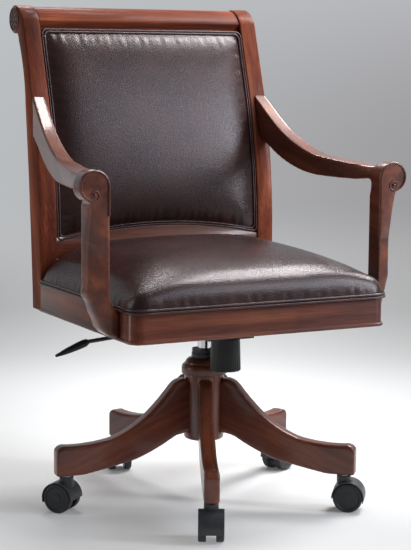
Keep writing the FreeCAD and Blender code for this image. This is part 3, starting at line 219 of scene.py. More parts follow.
def stained_wood(name, along, dark=1.0, polish=0.5):
    """Reddish brown stain under satin lacquer, with the grain along a direction."""
    material = bpy.data.materials.new(name)
    material.use_nodes = True
    tree = material.node_tree
    turn = Vector(along).normalized().rotation_difference(Vector((1, 0, 0))).to_euler()
    spot = node_of(tree, "ShaderNodeTexCoord").outputs["Object"]
    lined_up = node_of(tree, "ShaderNodeMapping", {"Vector": spot, "Rotation": turn}).outputs[0]
    broad = node_of(tree, "ShaderNodeMapping", {"Vector": lined_up, "Scale": (1.6, 26, 26)})
    figure = node_of(tree, "ShaderNodeTexNoise", {
        "Vector": broad.outputs["Vector"], "Scale": 1.0, "Detail": 5.0, "Roughness": 0.55,
        "Distortion": 0.4})
    narrow = node_of(tree, "ShaderNodeMapping", {"Vector": lined_up, "Scale": (16, 480, 480)})
    pores = node_of(tree, "ShaderNodeTexNoise", {
        "Vector": narrow.outputs["Vector"], "Scale": 1.0, "Detail": 3.0, "Roughness": 0.6})
    cloud = node_of(tree, "ShaderNodeTexNoise", {"Vector": lined_up, "Scale": 6.0, "Detail": 2.0})
    blend = node_of(tree, "ShaderNodeMix", {
        "Factor": 0.30, "A": figure.outputs["Fac"], "B": pores.outputs["Fac"]}, data_type="FLOAT")
    tone = node_of(tree, "ShaderNodeValToRGB", {"Fac": blend.outputs["Result"]})
    tone.color_ramp.elements[0].position = 0.36
    tone.color_ramp.elements[0].color = (0.058 * dark, 0.0120 * dark, 0.0068 * dark, 1)
    tone.color_ramp.elements[1].position = 0.66
    tone.color_ramp.elements[1].color = (0.270 * dark, 0.0760 * dark, 0.0320 * dark, 1)
    tone.color_ramp.elements.new(0.50).color = (0.140 * dark, 0.0320 * dark, 0.0155 * dark, 1)
    patchy = ranged(tree, cloud.outputs["Fac"], 0.3, 0.7, 0.66, 1.22)
    colour = node_of(tree, "ShaderNodeVectorMath", {0: tone.outputs["Color"], "Scale": patchy},
                     operation="SCALE")
    rough = ranged(tree, pores.outputs["Fac"], 0.3, 0.7, 0.46 - 0.2 * polish, 0.56 - 0.2 * polish)
    relief = node_of(tree, "ShaderNodeBump", {
        "Height": pores.outputs["Fac"], "Strength": 0.10, "Distance": 0.0004})
    surface = tree.nodes["Principled BSDF"]
    tree.links.new(colour.outputs["Vector"], surface.inputs["Base Color"])
    tree.links.new(rough, surface.inputs["Roughness"])
    tree.links.new(relief.outputs["Normal"], surface.inputs["Normal"])
    surface.inputs["Specular IOR Level"].default_value = 0.02 + 0.6 * polish
    surface.inputs["Coat Weight"].default_value = polish
    surface.inputs["Coat Roughness"].default_value = 0.14
    return material


def merged_copy(*nodes):
    """One bmesh with the merged meshes of CAD nodes."""
    work = bmesh.new()
    for node in nodes:
        work.from_mesh(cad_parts[node].data)
    bmesh.ops.remove_doubles(work, verts=work.verts, dist=0.00002)
    bmesh.ops.recalc_face_normals(work, faces=work.faces)
    return work


def finished(name, work, material, body, smooth=40):
    """Turn a finished bmesh into a piece that rides on a body."""
    mesh = bpy.data.meshes.new(name)
    work.to_mesh(mesh)
    work.free()
    piece = bpy.data.objects.new(name, mesh)
    bpy.context.scene.collection.objects.link(piece)
    mesh.materials.append(material)
    mesh.shade_smooth()
    mesh.set_sharp_from_angle(angle=radians(smooth))
    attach(piece, body)
    return piece


def sawn(node, edge, material, body, corner=35):
    """A wooden piece cut to the shape of its CAD node, with its sharp edges rounded over."""
    work = merged_copy(node)
    bmesh.ops.dissolve_limit(work, angle_limit=radians(0.6), verts=work.verts, edges=work.edges)
    sharp = [line for line in work.edges
             if len(line.link_faces) == 2 and line.calc_face_angle() > radians(corner)]
    bmesh.ops.bevel(work, geom=sharp, offset=edge, segments=3, profile=0.5, affect="EDGES",
                    material=-1, clamp_overlap=True)
    piece = finished("wood_" + node, work, material, body)
    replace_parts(piece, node)
    return piece


sawn("hub_column", HUB_EDGE, stained_wood("stain_upright", (0, 0, 1), 1.0, 0.8), "base")
sawn("hub_cap", CAP_EDGE, stained_wood("stain_cap", (0, 0, 1), 0.55), "base", corner=25)

# Legs: five of one pattern, sawn from thick boards in a long curve, their edges rounded over and
# sanded. They are tenoned and bolted into the column.
LEG_COUNT = 5
FIRST_LEG_TURN = radians(-24.5)
LEG_MESH = 0.0022
LEG_SANDING = 12


def evened(work, size):
    """Give a closed form an even mesh of small squares."""
    rough = bpy.data.meshes.new("rough")
    work.to_mesh(rough)
    work.free()
    blank = bpy.data.objects.new("rough", rough)
    bpy.context.scene.collection.objects.link(blank)
    remesh = blank.modifiers.new("even", "REMESH")
    remesh.mode = "VOXEL"
    remesh.voxel_size = size
    graph = bpy.context.evaluated_depsgraph_get()
    mesh = bpy.data.meshes.new_from_object(blank.evaluated_get(graph))
    bpy.data.objects.remove(blank)
    bpy.data.meshes.remove(rough)
    even = bmesh.new()
    even.from_mesh(mesh)
    bpy.data.meshes.remove(mesh)
    return even


def sanded(work, rounds, where=None):
    """Sand a form smooth, all over or at some of its points."""
    for _ in range(rounds):
        bmesh.ops.smooth_vert(work, verts=work.verts if where is None else where, factor=0.5,
                              use_axis_x=True, use_axis_y=True, use_axis_z=True)
    return work


leg_pattern = merged_copy("leg_1")
bmesh.ops.rotate(leg_pattern, cent=(0, 0, 0), matrix=Matrix.Rotation(-FIRST_LEG_TURN, 3, "Z"),
                 verts=leg_pattern.verts)
leg_pattern = sanded(evened(leg_pattern, LEG_MESH), LEG_SANDING)
for number in range(LEG_COUNT):
    turn = FIRST_LEG_TURN + radians(360 / LEG_COUNT * number)
    work = leg_pattern.copy()
    bmesh.ops.rotate(work, cent=(0, 0, 0), matrix=Matrix.Rotation(turn, 3, "Z"), verts=work.verts)
    leg = "leg_%d" % (number + 1)
    leg_grain = stained_wood("stain_" + leg, (sin(turn), -cos(turn), -0.42))
    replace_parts(finished("wood_" + leg, work, leg_grain, "base", 80), leg)
leg_pattern.free()


# Column and mechanism, as they are in the CAD: chromed cylinder, black painted tray, tube and lever
# rod, bright steel fasteners, and satin black mouldings.
def dressed(material, *nodes):
    """Give CAD nodes a better material."""
    for node in nodes:
        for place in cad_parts[node].material_slots:
            place.material = material


def moulded_plastic(name, colour, rough):
    """A fine spark-eroded mould texture with a faint unevenness."""
    material = bpy.data.materials.new(name)
    material.use_nodes = True
    tree = material.node_tree
    spot = node_of(tree, "ShaderNodeTexCoord").outputs["Object"]
    grain = node_of(tree, "ShaderNodeTexNoise", {"Vector": spot, "Scale": 1400.0, "Detail": 2.0})
    haze = node_of(tree, "ShaderNodeTexNoise", {"Vector": spot, "Scale": 45.0, "Detail": 3.0})
    shade = ranged(tree, haze.outputs["Fac"], 0.3, 0.7, 0.8, 1.25)
    wear_and_crease_shade = ranged(tree, haze.outputs["Fac"], 0.3, 0.7, rough - 0.05, rough + 0.07)
    tint = node_of(tree, "ShaderNodeVectorMath", {0: colour, "Scale": shade}, operation="SCALE")
    relief = node_of(tree, "ShaderNodeBump", {
        "Height": grain.outputs["Fac"], "Strength": 0.25, "Distance": 0.0001})
    surface = tree.nodes["Principled BSDF"]
    tree.links.new(tint.outputs["Vector"], surface.inputs["Base Color"])
    tree.links.new(wear_and_crease_shade, surface.inputs["Roughness"])
    tree.links.new(relief.outputs["Normal"], surface.inputs["Normal"])
    return material


def worked_metal(name, colour, metallic, rough, brushed):
    """Bright or painted metal with fine marks round the column."""
    material = bpy.data.materials.new(name)
    material.use_nodes = True
    tree = material.node_tree
    spot = node_of(tree, "ShaderNodeTexCoord").outputs["Object"]
    lines = node_of(tree, "ShaderNodeMapping", {"Vector": spot, "Scale": (60, 60, 2200)})
    marks = node_of(tree, "ShaderNodeTexNoise", {
        "Vector": lines.outputs["Vector"], "Scale": 1.0, "Detail": 2.0})
    haze = node_of(tree, "ShaderNodeTexNoise", {"Vector": spot, "Scale": 60.0, "Detail": 3.0})
    shade = ranged(tree, haze.outputs["Fac"], 0.3, 0.7, 0.9, 1.1)
    wear_and_crease_shade = ranged(tree, haze.outputs["Fac"], 0.3, 0.7, rough * 0.8, rough * 1.25)
    tint = node_of(tree, "ShaderNodeVectorMath", {0: colour, "Scale": shade}, operation="SCALE")
    relief = node_of(tree, "ShaderNodeBump", {
        "Height": marks.outputs["Fac"], "Strength": brushed, "Distance": 0.0001})
    surface = tree.nodes["Principled BSDF"]
    surface.inputs["Metallic"].default_value = metallic
    tree.links.new(tint.outputs["Vector"], surface.inputs["Base Color"])
    tree.links.new(wear_and_crease_shade, surface.inputs["Roughness"])
    tree.links.new(relief.outputs["Normal"], surface.inputs["Normal"])
    return material


dressed(moulded_plastic("satin_black_plastic", (0.003, 0.0035, 0.004), 0.40),
        "column_collar", "tension_knob", "lever_paddle")
dressed(worked_metal("black_painted_steel", (0.013, 0.013, 0.014), 0.0, 0.34, 0.05),
        "tilt_housing", "seat_plate", "lever_rod", "outer_tube")
dressed(worked_metal("chromed_steel", (0.78, 0.78, 0.80), 1.0, 0.10, 0.02), "gas_cylinder")
bright_steel = worked_metal("bright_steel", (0.52, 0.52, 0.53), 1.0, 0.30, 0.15)
dressed(bright_steel, "leg_bolts", "caster_sockets", "piston_rod", "thrust_bearing", "pivot_pin",
        "tension_spring", "release_pin", "seat_bolts")

# Castors: charcoal moulded hoods and wheels on steel stems and axles.
# The hoods are a shade lighter than the treads.
hood_plastic = moulded_plastic("charcoal_hood_plastic", (0.029, 0.031, 0.034), 0.40)
tread_plastic = moulded_plastic("charcoal_tread_plastic", (0.014, 0.0145, 0.016), 0.48)
for number in range(1, LEG_COUNT + 1):
    castor = "caster_%d_" % number
    dressed(hood_plastic, castor + "hood")
    dressed(tread_plastic, castor + "wheel_left", castor + "wheel_right")
    dressed(bright_steel, castor + "pins")

# Seat frame: four rails of stained hardwood round the seat, mitred at the posts, the front one with
# rounded corners and a bead worked along its lower edge. Under it are plain rails and a plywood
# board. An arched rail closes the foot of the back.
RAIL_EDGE = 0.0016
crosswise = stained_wood("stain_crosswise", (1, 0, 0))
lengthwise = stained_wood("stain_lengthwise", (0, 1, 0))
for node, stain in (("front_rail", crosswise), ("side_rail_left", lengthwise),
                    ("side_rail_right", lengthwise), ("back_rail", crosswise),
                    ("lower_back_rail", crosswise)):
    sawn(node, RAIL_EDGE, stain, "seat")


def plain_wood(name, along, light):
    """Pale unfinished wood with straight grain."""
    material = bpy.data.materials.new(name)
    material.use_nodes = True
    tree = material.node_tree
    turn = Vector(along).rotation_difference(Vector((1, 0, 0))).to_euler()
    spot = node_of(tree, "ShaderNodeTexCoord").outputs["Object"]
    lined_up = node_of(tree, "ShaderNodeMapping", {
        "Vector": spot, "Rotation": turn, "Scale": (3, 60, 60)})
    grain = node_of(tree, "ShaderNodeTexNoise", {
        "Vector": lined_up.outputs["Vector"], "Scale": 1.0, "Detail": 6.0, "Distortion": 0.7})
    tone = node_of(tree, "ShaderNodeValToRGB", {"Fac": grain.outputs["Fac"]})
    tone.color_ramp.elements[0].position = 0.32
    tone.color_ramp.elements[0].color = (0.33 * light, 0.20 * light, 0.10 * light, 1)
    tone.color_ramp.elements[1].position = 0.68
    tone.color_ramp.elements[1].color = (0.52 * light, 0.36 * light, 0.21 * light, 1)
    rough = ranged(tree, grain.outputs["Fac"], 0.3, 0.7, 0.60, 0.75)
    relief = node_of(tree, "ShaderNodeBump", {
        "Height": grain.outputs["Fac"], "Strength": 0.2, "Distance": 0.0005})
    surface = tree.nodes["Principled BSDF"]
    tree.links.new(tone.outputs["Color"], surface.inputs["Base Color"])
    tree.links.new(rough, surface.inputs["Roughness"])
    tree.links.new(relief.outputs["Normal"], surface.inputs["Normal"])
    return material


dressed(plain_wood("plain_rail_wood", (1, 0, 0), 0.85), "cross_rails")
dressed(plain_wood("plain_board_wood", (0, 1, 0), 1.0), "seat_board")

# Posts and crest rail: the posts sweep back and end in a roll, which the crest rail carries across.
# A carved rosette of petals round a boss closes each end of the roll.
POST_EDGE = 0.0030
ROLL_CENTRE = Vector((0.273, 0.342, 0.969))
RING_RADIUS = 0.0240
RING_THICK = 0.0019
PETAL_COUNT = 8
PETAL_REACH = 0.0140
PETAL_HALVES = (0.0076, 0.0046, 0.0022)
BOSS_HALVES = (0.0058, 0.0058, 0.0024)
post_stain = stained_wood("stain_post", (0, 0.22, 1), 1.25, 0.08)
# Painted light: the crest's stain is lighter than the other wood's to stand for the light that
# falls on the crest.
crest_stain_with_painted_light = stained_wood("stain_crest_painted_light", (1, 0, 0), 1.50, 0.05)
carving_stain = stained_wood("stain_carving", (0, 0, 1), 0.28)
for node, stain in (("post_left", post_stain), ("post_right", post_stain),
                    ("crest_rail", crest_stain_with_painted_light)):
    sawn(node, POST_EDGE, stain, "seat")


def rosette(side, name):
    """A ring, eight petals and a boss on the outer end of the roll."""
    work = bmesh.new()
    centre = Vector((ROLL_CENTRE.x * side, ROLL_CENTRE.y, ROLL_CENTRE.z))
    to_face = Matrix.Translation(centre) @ Matrix.Rotation(radians(90) * side, 4, "Y")
    on_ring = Matrix.Translation((RING_RADIUS, 0, 0)) @ Matrix.Rotation(radians(90), 4, "X")
    bmesh.ops.create_circle(work, cap_ends=False, radius=RING_THICK, segments=12, matrix=on_ring)
    bmesh.ops.spin(work, geom=work.verts[:] + work.edges[:], cent=(0, 0, 0), axis=(0, 0, 1),
                   angle=2 * pi, steps=48, use_merge=True)
    for number in range(PETAL_COUNT):
        spot = (Matrix.Rotation(number * 2 * pi / PETAL_COUNT, 4, "Z")
                @ Matrix.Translation((PETAL_REACH, 0, 0)))
        bmesh.ops.create_uvsphere(work, u_segments=20, v_segments=12, radius=1.0,
                                  matrix=spot @ Matrix.Diagonal((*PETAL_HALVES, 1)))
    bmesh.ops.create_uvsphere(work, u_segments=24, v_segments=14, radius=1.0,
                              matrix=Matrix.Diagonal((*BOSS_HALVES, 1)))
    bmesh.ops.transform(work, matrix=to_face, verts=work.verts)
    bmesh.ops.recalc_face_normals(work, faces=work.faces)
    finished(name, work, carving_stain, "seat")


rosette(-1, "rosette_left")
rosette(1, "rosette_right")


# Back panel: a board covered in leather behind the cushion, seen from the back of the chair.
# The leather is dark brown with a pebbled grain and a soft shine.
def pebbled_leather(name, cell=250.0, shine=0.24, light=1.0):
    """Dark brown leather with a pebbled grain."""
    material = bpy.data.materials.new(name)
    material.use_nodes = True
    tree = material.node_tree
    spot = node_of(tree, "ShaderNodeTexCoord").outputs["Object"]
    wander = node_of(tree, "ShaderNodeTexNoise", {"Vector": spot, "Scale": 120.0, "Detail": 2.0})
    shifted = node_of(tree, "ShaderNodeVectorMath", {0: wander.outputs["Color"], "Scale": 0.003},
                      operation="SCALE")
    bent = node_of(tree, "ShaderNodeVectorMath", {0: spot, 1: shifted.outputs["Vector"]})
    cells = node_of(tree, "ShaderNodeTexVoronoi", {"Vector": bent.outputs["Vector"], "Scale": cell},
                    feature="DISTANCE_TO_EDGE")
    creases = ranged(tree, cells.outputs["Distance"], 0.0, 0.28, 0.0, 1.0, "SMOOTHSTEP")
    broad = node_of(tree, "ShaderNodeTexNoise", {"Vector": spot, "Scale": 14.0, "Detail": 3.0})
    fine = node_of(tree, "ShaderNodeTexNoise", {"Vector": spot, "Scale": 900.0, "Detail": 2.0})
    height = node_of(tree, "ShaderNodeMath", {0: fine.outputs["Fac"], 1: 0.25, 2: creases},
                     operation="MULTIPLY_ADD")
    relief = node_of(tree, "ShaderNodeBump", {
        "Height": height.outputs[0], "Strength": 0.21, "Distance": 0.0008})
    tone = node_of(tree, "ShaderNodeValToRGB", {"Fac": broad.outputs["Fac"]})
    tone.color_ramp.elements[0].position = 0.35
    tone.color_ramp.elements[0].color = (0.0275 * light, 0.0090 * light, 0.0077 * light, 1)
    tone.color_ramp.elements[1].position = 0.70
    tone.color_ramp.elements[1].color = (0.0540 * light, 0.0188 * light, 0.0156 * light, 1)
    # Painted shade: the colour is darkened in the creases of the grain.
    wear_and_crease_shade = ranged(tree, creases, 0.0, 1.0, 0.55, 1.1)
    colour = node_of(tree, "ShaderNodeVectorMath", {0: tone.outputs["Color"], "Scale": wear_and_crease_shade},
                     operation="SCALE")
    rough = ranged(tree, creases, 0.0, 1.0, shine + 0.14, shine)
    surface = tree.nodes["Principled BSDF"]
    tree.links.new(colour.outputs["Vector"], surface.inputs["Base Color"])
    tree.links.new(rough, surface.inputs["Roughness"])
    tree.links.new(relief.outputs["Normal"], surface.inputs["Normal"])
    surface.inputs["Specular IOR Level"].default_value = 0.50
    surface.inputs["Specular Tint"].default_value = (1.0, 0.92, 0.96, 1)
    return material


leather = pebbled_leather("pebbled_leather")
dressed(leather, "back_panel")

# Seat cushion: foam under leather, domed, with tight corners at the front. It is shaped first and
# then stuffed by simulation, inside the space of the CAD cushion. The leather is held down along a
# double welt and puckers a little where it is gathered.
SEAT_LOW = 0.4313
SEAT_HALF = 0.277
SEAT_FRONT = -0.252
SEAT_BACK = 0.201
SEAT_TALL = 0.066
SEAT_BULGE = 0.8
SEAT_CORNER = 0.036
SEAT_BACK_CORNER = 0.012
SEAT_MESH = 0.006
SEAT_HELD = 0.009
SEAT_SKIRT = 0.001
SEAT_PUCKERS_FROM = 0.004
SEAT_PUCKERS_AT = 0.016
SEAT_PUCKERS_WIDE = 0.009
SEAT_PUCKERS_DEEP = 0.0003
SEAT_WELT = 0.0026
SEAT_WELT_LOW = 0.4342
SEAT_WELT_HIGH = 0.4396
# Painted highlight: the welts' leather is lighter than the cushions', standing in part for the
# highlight on the cords.
welt_leather_painted_highlight = pebbled_leather("welt_leather_painted_highlight", 420.0, 0.20, 1.5)


def seat_held(spot):
    """Whether a point lies where the leather is tacked down along the welt."""
    return spot.z < SEAT_LOW + SEAT_HELD


def shoulders(work, wide, tight):
    """Round the shoulders of the seat over, tighter where the leather is pulled round corners."""
    for vert in work.verts:
        x, y, z = vert.co
        over_x = abs(x) - (SEAT_HALF - SEAT_CORNER)
        over_y = max(SEAT_FRONT + SEAT_CORNER - y, y - SEAT_BACK + SEAT_CORNER)
        out_x = 1 if x > 0 else -1
        out_y = 1 if y > SEAT_FRONT + SEAT_CORNER else -1
        round_by = wide
        if over_x > 0 and over_y > 0:
            reach = Vector((over_x, over_y, 0))
            gap = SEAT_CORNER - reach.length
            round_by = wide - (wide - tight) * 2 * over_x * over_y / reach.length_squared
            reach.normalize()
        else:
            gap = SEAT_CORNER - max(over_x, over_y)
            reach = Vector((1, 0, 0)) if over_x > over_y else Vector((0, 1, 0))
        rise = z - SEAT_LOW
        along = rise + max(0.0, gap)
        if rise > SEAT_SKIRT and along < SEAT_TALL + round_by:
            turn = pi / 2 * along / (SEAT_TALL + round_by)
            shift = round_by * (1 - cos(turn) ** SEAT_BULGE) - max(0.0, gap)
            vert.co -= Vector((out_x * reach.x, out_y * reach.y, 0)) * shift
            vert.co.z = SEAT_LOW + max(rise, SEAT_TALL) * sin(turn) ** SEAT_BULGE


def pillowed(work, side_low, side_reach, front_low, front_reach):
    """Let the top fall away towards the two sides and, less so, towards the front edge."""
    for vert in work.verts:
        rise = vert.co.z - SEAT_LOW
        if rise > SEAT_SKIRT:
            from_side = min(1.0, max(0.0, SEAT_HALF - abs(vert.co.x)) / side_reach)
            from_front = min(1.0, max(0.0, vert.co.y - SEAT_FRONT) / front_reach)
            side = side_low + (1 - side_low) * sin(pi / 2 * from_side)
            front = front_low + (1 - front_low) * sin(pi / 2 * from_front)
            vert.co.z = SEAT_LOW + rise * side * front


def stuffed(name, even, is_held, ease, most, rounds):
    """Swell a cushion's even mesh by its stuffing where it isn't held.

    Ease is the share of the swelling that is kept, and most is the furthest that a point moves.
    """
    even.verts.ensure_lookup_table()
    held = [vert.index for vert in even.verts if is_held(vert.co)]
    kept = set(held)
    sanded(even, 10, [vert for vert in even.verts if vert.index not in kept])
    starts = [vert.co.copy() for vert in even.verts]
    mesh = bpy.data.meshes.new(name + "_pad")
    even.to_mesh(mesh)
    even.free()
    pad = bpy.data.objects.new(name + "_pad", mesh)
    bpy.context.scene.collection.objects.link(pad)
    pad.vertex_groups.new(name="held").add(held, 1.0, "REPLACE")
    cloth = pad.modifiers.new("stuffing", "CLOTH").settings
    cloth.vertex_group_mass = "held"
    cloth.tension_stiffness = 60
    cloth.compression_stiffness = 60
    cloth.shear_stiffness = 20
    cloth.bending_stiffness = 5
    cloth.use_pressure = True
    cloth.uniform_pressure_force = 4.0
    cloth.effector_weights.gravity = 0
    for moment in range(1, 21):
        bpy.context.scene.frame_set(moment)
    swollen = pad.evaluated_get(bpy.context.evaluated_depsgraph_get()).to_mesh()
    ends = [vert.co.copy() for vert in swollen.vertices]
    pad.modifiers.clear()
    bpy.context.scene.frame_set(1)
    for vert, start, end in zip(mesh.vertices, starts, ends):
        move = (end - start) * ease
        vert.co = start + move * min(1.0, most / max(move.length, 1e-9))
    finer = pad.modifiers.new("finer", "SUBSURF")
    finer.levels = 1
    finer.render_levels = 1
    graph = bpy.context.evaluated_depsgraph_get()
    final = bpy.data.meshes.new_from_object(pad.evaluated_get(graph))
    bpy.data.objects.remove(pad)
    bpy.data.meshes.remove(mesh)
    work = bmesh.new()
    work.from_mesh(final)
    bpy.data.meshes.remove(final)
    return sanded(work, rounds)


def ripple(along, close, stray, slow):
    """The height of uneven waves at a point along a line."""
    return sin(along * close + stray * sin(along * slow))


seat = evened(merged_copy("seat_cushion"), SEAT_MESH)
shoulders(seat, wide=0.036, tight=0.026)
pillowed(seat, side_low=0.55, side_reach=0.13, front_low=0.88, front_reach=0.09)
seat = stuffed("seat", seat, seat_held, ease=0.2, most=0.006, rounds=20)
for vert in seat.verts:
    x, y, z = vert.co
    rise = z - SEAT_LOW
    gather = 0.0
    if rise > SEAT_PUCKERS_FROM:
        gather = exp(-((rise - SEAT_PUCKERS_AT) / SEAT_PUCKERS_WIDE) ** 2)
    waves = ripple(x, 210, 1.7, 37) + 0.7 * ripple(y, 190, 2.1, 41) + 0.5 * sin((x - y) * 333)
    vert.co += vert.normal * SEAT_PUCKERS_DEEP * gather * waves
seat_piece = finished("seat_leather", seat, leather, "seat", 80)
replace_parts(seat_piece, "seat_cushion")


def rolled(points, radius, closed, widths=None):
    """A round strip along a line of points, as a bmesh: a closed ring, or one with capped ends."""
    data = bpy.data.curves.new("rolled", "CURVE")
    data.dimensions = "3D"
    data.bevel_depth = radius
    data.bevel_resolution = 3
    data.use_fill_caps = not closed
    line = data.splines.new("POLY")
    line.points.add(len(points) - 1)
    line.use_cyclic_u = closed
    for number, place in enumerate(line.points):
        place.co = (*points[number], 1)
        place.radius = widths[number] if widths else 1.0
    holder = bpy.data.objects.new("rolled", data)
    bpy.context.scene.collection.objects.link(holder)
    graph = bpy.context.evaluated_depsgraph_get()
    mesh = bpy.data.meshes.new_from_object(holder.evaluated_get(graph))
    bpy.data.objects.remove(holder)
    work = bmesh.new()
    work.from_mesh(mesh)
    bpy.data.meshes.remove(mesh)
    return work


def welt(name, points, radius):
    """Leather piping along a closed line."""
    work = rolled(points, radius, closed=True)
    bmesh.ops.remove_doubles(work, verts=work.verts, dist=0.00001)
    bmesh.ops.recalc_face_normals(work, faces=work.faces)
    finished(name, work, welt_leather_painted_highlight, "seat", 80)


def straight_run(start, end, count=60):
    """Points along a straight run, without its last one."""
    return [start.lerp(end, step / count) for step in range(count)]


def round_corner(start, corner, end, count=8):
    """Points round the corner between two runs, without the last one."""
    line = []
    for step in range(count):
        share = step / count
        line.append(start * (1 - share) ** 2 + corner * 2 * share * (1 - share) + end * share ** 2)
    return line


def seat_loop(inset, height):
    """The outline of the seat's base, drawn in by an inset."""
    half, front, back = SEAT_HALF - inset, SEAT_FRONT + inset, SEAT_BACK - inset
    spots = [(-half, front, SEAT_CORNER), (half, front, SEAT_CORNER),
             (half, back, SEAT_BACK_CORNER), (-half, back, SEAT_BACK_CORNER)]
    line = []
    for place, (x, y, round_by) in enumerate(spots):
        next_x, next_y, next_round = spots[(place + 1) % 4]
        before_x, before_y, _ = spots[place - 1]
        here = Vector((x, y, height))
        before = Vector((before_x, before_y, height))
        following = Vector((next_x, next_y, height))
        arrive = (before - here).normalized() * round_by + here
        leave = (following - here).normalized() * round_by + here
        until = (here - following).normalized() * next_round + following
        line += round_corner(arrive, here, leave) + straight_run(leave, until)
    return line


welt("seat_welt_low", seat_loop(-0.0005, SEAT_WELT_LOW), SEAT_WELT)
welt("seat_welt_high", seat_loop(0.0005, SEAT_WELT_HIGH), SEAT_WELT)

# Back cushion: foam under leather between the posts, stuffed in the same way. Its foot is arched,
# and a double welt is laid round it against the frame.
BACK_HALF = 0.235
BACK_TOP = 0.951
BACK_CORNER = 0.012
BACK_MESH = 0.005
ARCH_END = 0.516
ARCH_RISE = 0.026
POST_STRAIGHT_TO = 0.5097
POST_CURVED_TO = 0.8139
POST_ROLL_FROM = 0.9663
POST_FACE_LOW = 0.205
POST_FACE_MIDDLE = 0.2480
POST_FACE_HIGH = 0.2960
BACK_HELD = 0.010
BACK_PROUD = 0.0045
BACK_SWELL = 0.0160
BACK_SWELL_OVER = 0.026
BACK_CROWN = 0.0050
BACK_FACE_DEEP = 0.0075
BACK_PUCKERS_AT = 0.018
BACK_PUCKERS_WIDE = 0.012
BACK_PUCKERS_DEEP = 0.0004
BACK_PUCKERS_UNTIL = 0.009
BACK_WELT = 0.0023
BACK_WELT_PROUD = 0.0012


def post_front(height):
    """How far back the front face of the posts is at a height."""
    if height <= POST_STRAIGHT_TO:
        return POST_FACE_LOW
    if height <= POST_CURVED_TO:
        share = (height - POST_STRAIGHT_TO) / (POST_CURVED_TO - POST_STRAIGHT_TO)
        return POST_FACE_LOW + (POST_FACE_MIDDLE - POST_FACE_LOW) * share ** 2
    return POST_FACE_MIDDLE + ((height - POST_CURVED_TO) * (POST_FACE_HIGH - POST_FACE_MIDDLE)
                               / (POST_ROLL_FROM - POST_CURVED_TO))


def arch_at(x):
    """How high the arched foot of the back is at a place across it."""
    return ARCH_END + ARCH_RISE * (1 - (x / BACK_HALF) ** 2)


def border_gap(x, z):
    """How far a point of the back lies inside its border."""
    return min(BACK_HALF - abs(x), BACK_TOP - z, (z - arch_at(x)) * 0.98)


def back_held(spot):
    """Whether a point lies along the border, where the leather is tacked down, or behind it."""
    return border_gap(spot.x, spot.z) < BACK_HELD or spot.y > post_front(spot.z) + BACK_FACE_DEEP


back = evened(merged_copy("back_cushion"), BACK_MESH)
for vert in back.verts:
    x, y, z = vert.co
    gap = border_gap(x, z)
    if y < post_front(z) + BACK_FACE_DEEP:
        swell = BACK_SWELL * (1 - exp(-max(0.0, gap - BACK_HELD) / BACK_SWELL_OVER))
        swell += BACK_CROWN * max(0.0, 1 - (x / BACK_HALF) ** 2)
        vert.co.y = post_front(z) + BACK_PROUD - (swell if gap > BACK_HELD else 0.0)
back = stuffed("back", back, back_held, ease=0.2, most=0.006, rounds=14)
for vert in back.verts:
    x, y, z = vert.co
    gap = border_gap(x, z)
    if y < post_front(z) + BACK_PUCKERS_UNTIL and gap > 0:
        gather = exp(-((gap - BACK_PUCKERS_AT) / BACK_PUCKERS_WIDE) ** 2)
        near_side = BACK_HALF - abs(x)
        around = x if BACK_TOP - z < near_side or z - arch_at(x) < near_side else z
        waves = ripple(around, 205, 1.9, 33) + 0.6 * sin(around * 370 + 1.2)
        vert.co.y += BACK_PUCKERS_DEEP * gather * waves
back_tree = BVHTree.FromBMesh(back)
back_piece = finished("back_leather", back, leather, "seat", 80)
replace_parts(back_piece, "back_cushion")


def back_loop(inset):
    """A line laid on the front of the back cushion, drawn in from its border by an inset."""
    half, top = BACK_HALF - inset, BACK_TOP - inset
    over, up = Vector((BACK_CORNER, 0, 0)), Vector((0, 0, BACK_CORNER))
    foot = [(-1 + step / 40) * (half - BACK_CORNER) for step in range(81)]
    flat = [Vector((x, 0, arch_at(x) + inset)) for x in foot]
    low_right = Vector((half, 0, arch_at(half) + inset))
    low_left = Vector((-half, 0, arch_at(half) + inset))
    high_right, high_left = Vector((half, 0, top)), Vector((-half, 0, top))
    line = flat[:-1] + round_corner(flat[-1], low_right, low_right + up)
    line += straight_run(low_right + up, high_right - up)
    line += round_corner(high_right - up, high_right, high_right - over)
    line += straight_run(high_right - over, high_left + over)
    line += round_corner(high_left + over, high_left, high_left - up)
    line += straight_run(high_left - up, low_left + up)
    line += round_corner(low_left + up, low_left, flat[0])
    placed = []
    for spot in line:
        before = Vector((spot.x * 0.995, 0.1, min(spot.z, BACK_TOP - 0.002)))
        hit = back_tree.ray_cast(before, Vector((0, 1, 0)))[0]
        depth = hit.y if hit is not None else post_front(spot.z) + 0.004
        placed.append(Vector((spot.x, depth - BACK_WELT_PROUD, spot.z)))
    smooth = []
    for place, spot in enumerate(placed):
        near = [placed[(place + step) % len(placed)].y for step in range(-3, 4)]
        smooth.append(Vector((spot.x, sum(near) / len(near), spot.z)))
    return smooth


welt("back_welt_outer", back_loop(0.0024), BACK_WELT)
welt("back_welt_inner", back_loop(0.0072), BACK_WELT)

# Arms and supports: each arm is sawn and rasped to flow into the scroll at the head of its support.
# The glue joint is sanded over, so one shape stands for both. A volute is carved on the front of
# the scroll.
ARM_MESH = 0.0018
ARM_SANDING = 6
NECK_FRONT = -0.1869
NECK_BACK = -0.150
STEM_INSIDE = -0.298
STEM_TOP = 0.600
ARM_FROM = -0.158
ARM_TO = -0.138
ARM_FOOT = 0.660
RASPINGS = 10
RASP_STEP = 0.004
SCROLL = Vector((0.3225, -0.187, 0.662))
SCROLL_BAND = 0.0280
EYE = Vector((0.3232, -0.187, 0.6460))
EYE_BAND = 0.0107
EYE_HALVES = (0.0046, 0.0032, 0.0046)
VOLUTE_STEPS = 60
VOLUTE_WIDTH = 0.0026
VOLUTE_SUNK = 0.0004
arm_stain = stained_wood("stain_arm", (0, 1, 0.2), 1.0, 0.6)
volute_stain = stained_wood("stain_volute", (0, 0, 1), 0.8)


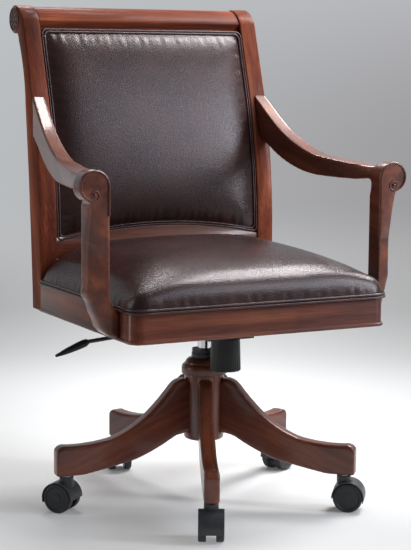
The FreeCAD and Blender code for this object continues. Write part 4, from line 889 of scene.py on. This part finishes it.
def arm_and_support(side, hand):
    """One arm with its support; the right one is the left one turned over."""
    work = merged_copy("arm_left", "arm_support_left")
    neck = []
    for x, inward, z in ((0.292, 0, 0.642), (0.3305, 0, 0.642), (0.292, 0, 0.540),
                         (0.3305, 0.0195, 0.540)):
        neck += [work.verts.new((-x, NECK_FRONT + inward, z)), work.verts.new((-x, NECK_BACK, z))]
    bmesh.ops.convex_hull(work, input=neck)
    work = sanded(evened(work, ARM_MESH), ARM_SANDING)
    for further in range(RASPINGS):
        fade = RASP_STEP * further
        rasped = [vert for vert in work.verts
                  if (vert.co.x < STEM_INSIDE and vert.co.y < NECK_BACK
                      and vert.co.z < STEM_TOP + fade)
                  or (ARM_FROM < vert.co.y < ARM_TO + fade and vert.co.z > ARM_FOOT - fade)]
        sanded(work, 8, rasped)
    if side > 0:
        bmesh.ops.scale(work, vec=(-1, 1, 1), verts=work.verts)
        bmesh.ops.reverse_faces(work, faces=work.faces)
    piece = finished("wood_arm_" + hand, work, arm_stain, "seat", 80)
    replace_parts(piece, "arm_" + hand, "arm_support_" + hand)


def volute(side, hand):
    """A raised band up the inner edge of the stem, round the scroll and in to an eye."""
    inner = SCROLL.x - SCROLL_BAND
    points = [Vector((inner, SCROLL.y, SCROLL.z - 0.009 * step)) for step in (6, 5, 4, 3, 2, 1)]
    for step in range(VOLUTE_STEPS + 1):
        turn = radians(180 - 4.5 * step)
        reach = SCROLL_BAND - 0.000021 * step
        points.append(SCROLL + Vector((reach * cos(turn), 0, reach * sin(turn))))
    for step in range(1, VOLUTE_STEPS + 1):
        turn = radians(-90 - 7 * step)
        reach = EYE_BAND - 0.00011 * step
        points.append(EYE + Vector((reach * cos(turn), 0, reach * sin(turn))))
    placed = [(point.x * side, point.y + VOLUTE_SUNK, point.z) for point in points]
    widths = [1.0 if number < 50 else max(0.55, 1.0 - 0.010 * (number - 50))
              for number in range(len(points))]
    work = rolled(placed, VOLUTE_WIDTH, closed=False, widths=widths)
    eye = Matrix.Translation((EYE.x * side, EYE.y, EYE.z)) @ Matrix.Diagonal((*EYE_HALVES, 1))
    bmesh.ops.create_uvsphere(work, u_segments=24, v_segments=16, radius=1.0, matrix=eye)
    bmesh.ops.recalc_face_normals(work, faces=work.faces)
    finished("volute_" + hand, work, volute_stain, "seat")


for side, hand in ((-1, "left"), (1, "right")):
    arm_and_support(side, hand)
    volute(side, hand)
